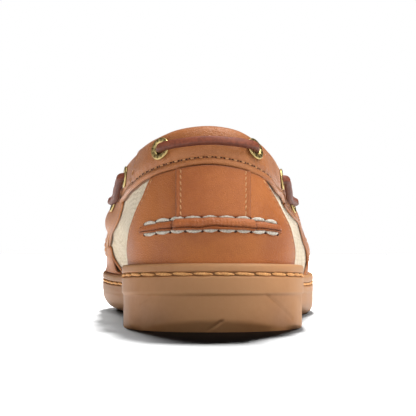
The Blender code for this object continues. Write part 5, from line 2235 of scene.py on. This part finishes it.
@dataclass
class Studio:
    """The pale floor, the lights and the camera. The camera's lengths are in millimetres, angles in degrees."""

    place: Placing
    lens: float = 147.8
    sensor: float = 36.0
    camera_x: float = -10.4
    camera_back: float = -595.0
    camera_height: float = 33.0
    camera_turn: float = 0.802
    camera_pitch: float = 1.006
    floor_radius: float = 2.6
    floor_grey: float = 0.12
    sky_light: float = 0.03
    lamps: tuple[Lamp, ...] = (
        Lamp("floor_lamp", (0.24, 3.78, 3.9), (0.5, 0.7), 3400.0, (0.0, -0.13, 0.0), True),
        Lamp("floor_fill", (-0.35, 4.4, 3.6), (1.6, 1.0), 1400.0, (0.0, -0.13, 0.0), True),
        Lamp("floor_left", (-0.45, 2.2, 0.28), (0.3, 0.3), 620.0, (0.0, -0.05, 0.0), True),
        Lamp("floor_right", (0.5, 2.2, 0.28), (0.3, 0.3), 750.0, (0.0, -0.05, 0.0), True),
        Lamp("key_lamp", (1.05, -0.85, 1.2), (0.7, 0.7), 17.0),
        Lamp("left_lamp", (-1.35, -0.6, 0.4), (0.9, 0.9), 3.4),
        Lamp("back_lamp", (-0.05, -1.6, 0.05), (0.8, 0.8), 4.5),
        Lamp("top_lamp", (0.35, -0.05, 1.7), (0.9, 0.9), 28.0),
    )

    def build_floor(self) -> bpy.types.Object:
        """A wide plain floor."""
        deselect()
        bpy.ops.mesh.primitive_circle_add(vertices=96, radius=self.floor_radius, fill_type="NGON")
        floor = bpy.context.object
        floor.name = "studio_floor"
        look = Look("studio_white")
        for label, value in (("Base Color", (*[self.floor_grey] * 3, 1.0)), ("Roughness", 0.9),
                             ("Specular IOR Level", 0.0)):
            look.put(look.shader.inputs[label], value)
        floor.data.materials.append(look.material)
        return floor

    def build_light(self, floor: bpy.types.Object) -> None:
        """The lamps, and a surround that is white to the camera and dim to the shoe.

        Args:
            floor: the floor.
        """
        scene = bpy.context.scene
        scene.view_settings.view_transform = "Standard"
        scene.world = bpy.data.worlds.new("studio_world")
        scene.world.use_nodes = True
        tree = Tree(scene.world.node_tree)
        background = tree.tree.nodes["Background"]
        seen = tree.add("LightPath").outputs["Is Camera Ray"]
        tree.put(background.inputs["Color"], (1.0, 1.0, 1.0, 1.0))
        tree.put(background.inputs["Strength"], tree.math("MULTIPLY_ADD", seen, 1.0 - self.sky_light, self.sky_light))
        for lamp in self.lamps:
            lamp.build(floor)

    def build_camera(self) -> None:
        """The camera behind the heel, a little above its middle."""
        data = bpy.data.cameras.new("camera")
        data.lens = self.lens
        data.sensor_width = self.sensor
        camera = bpy.data.objects.new("camera", data)
        bpy.context.scene.collection.objects.link(camera)
        camera.location = self.place.metres(np.array([self.camera_x, self.camera_back, self.camera_height]))
        camera.rotation_euler = (math.radians(90 + self.camera_pitch), 0.0, math.radians(-self.camera_turn))
        bpy.context.scene.camera = camera

    def build(self) -> None:
        """Builds the studio."""
        self.build_light(self.build_floor())
        self.build_camera()


def main() -> None:
    """Builds the shoe piece by piece and the studio round it."""
    logging.basicConfig(level=logging.INFO, format="%(message)s")
    shop = Workshop()
    Studio(shop.place).build()
    for part in (Sole(shop), Shell(shop), Heel(shop), Collar(shop), Saddles(shop), Plug(shop), Lacing(shop)):
        part.build()
        log.info("%s is built", type(part).__name__)


if __name__ == "__main__":
    main()
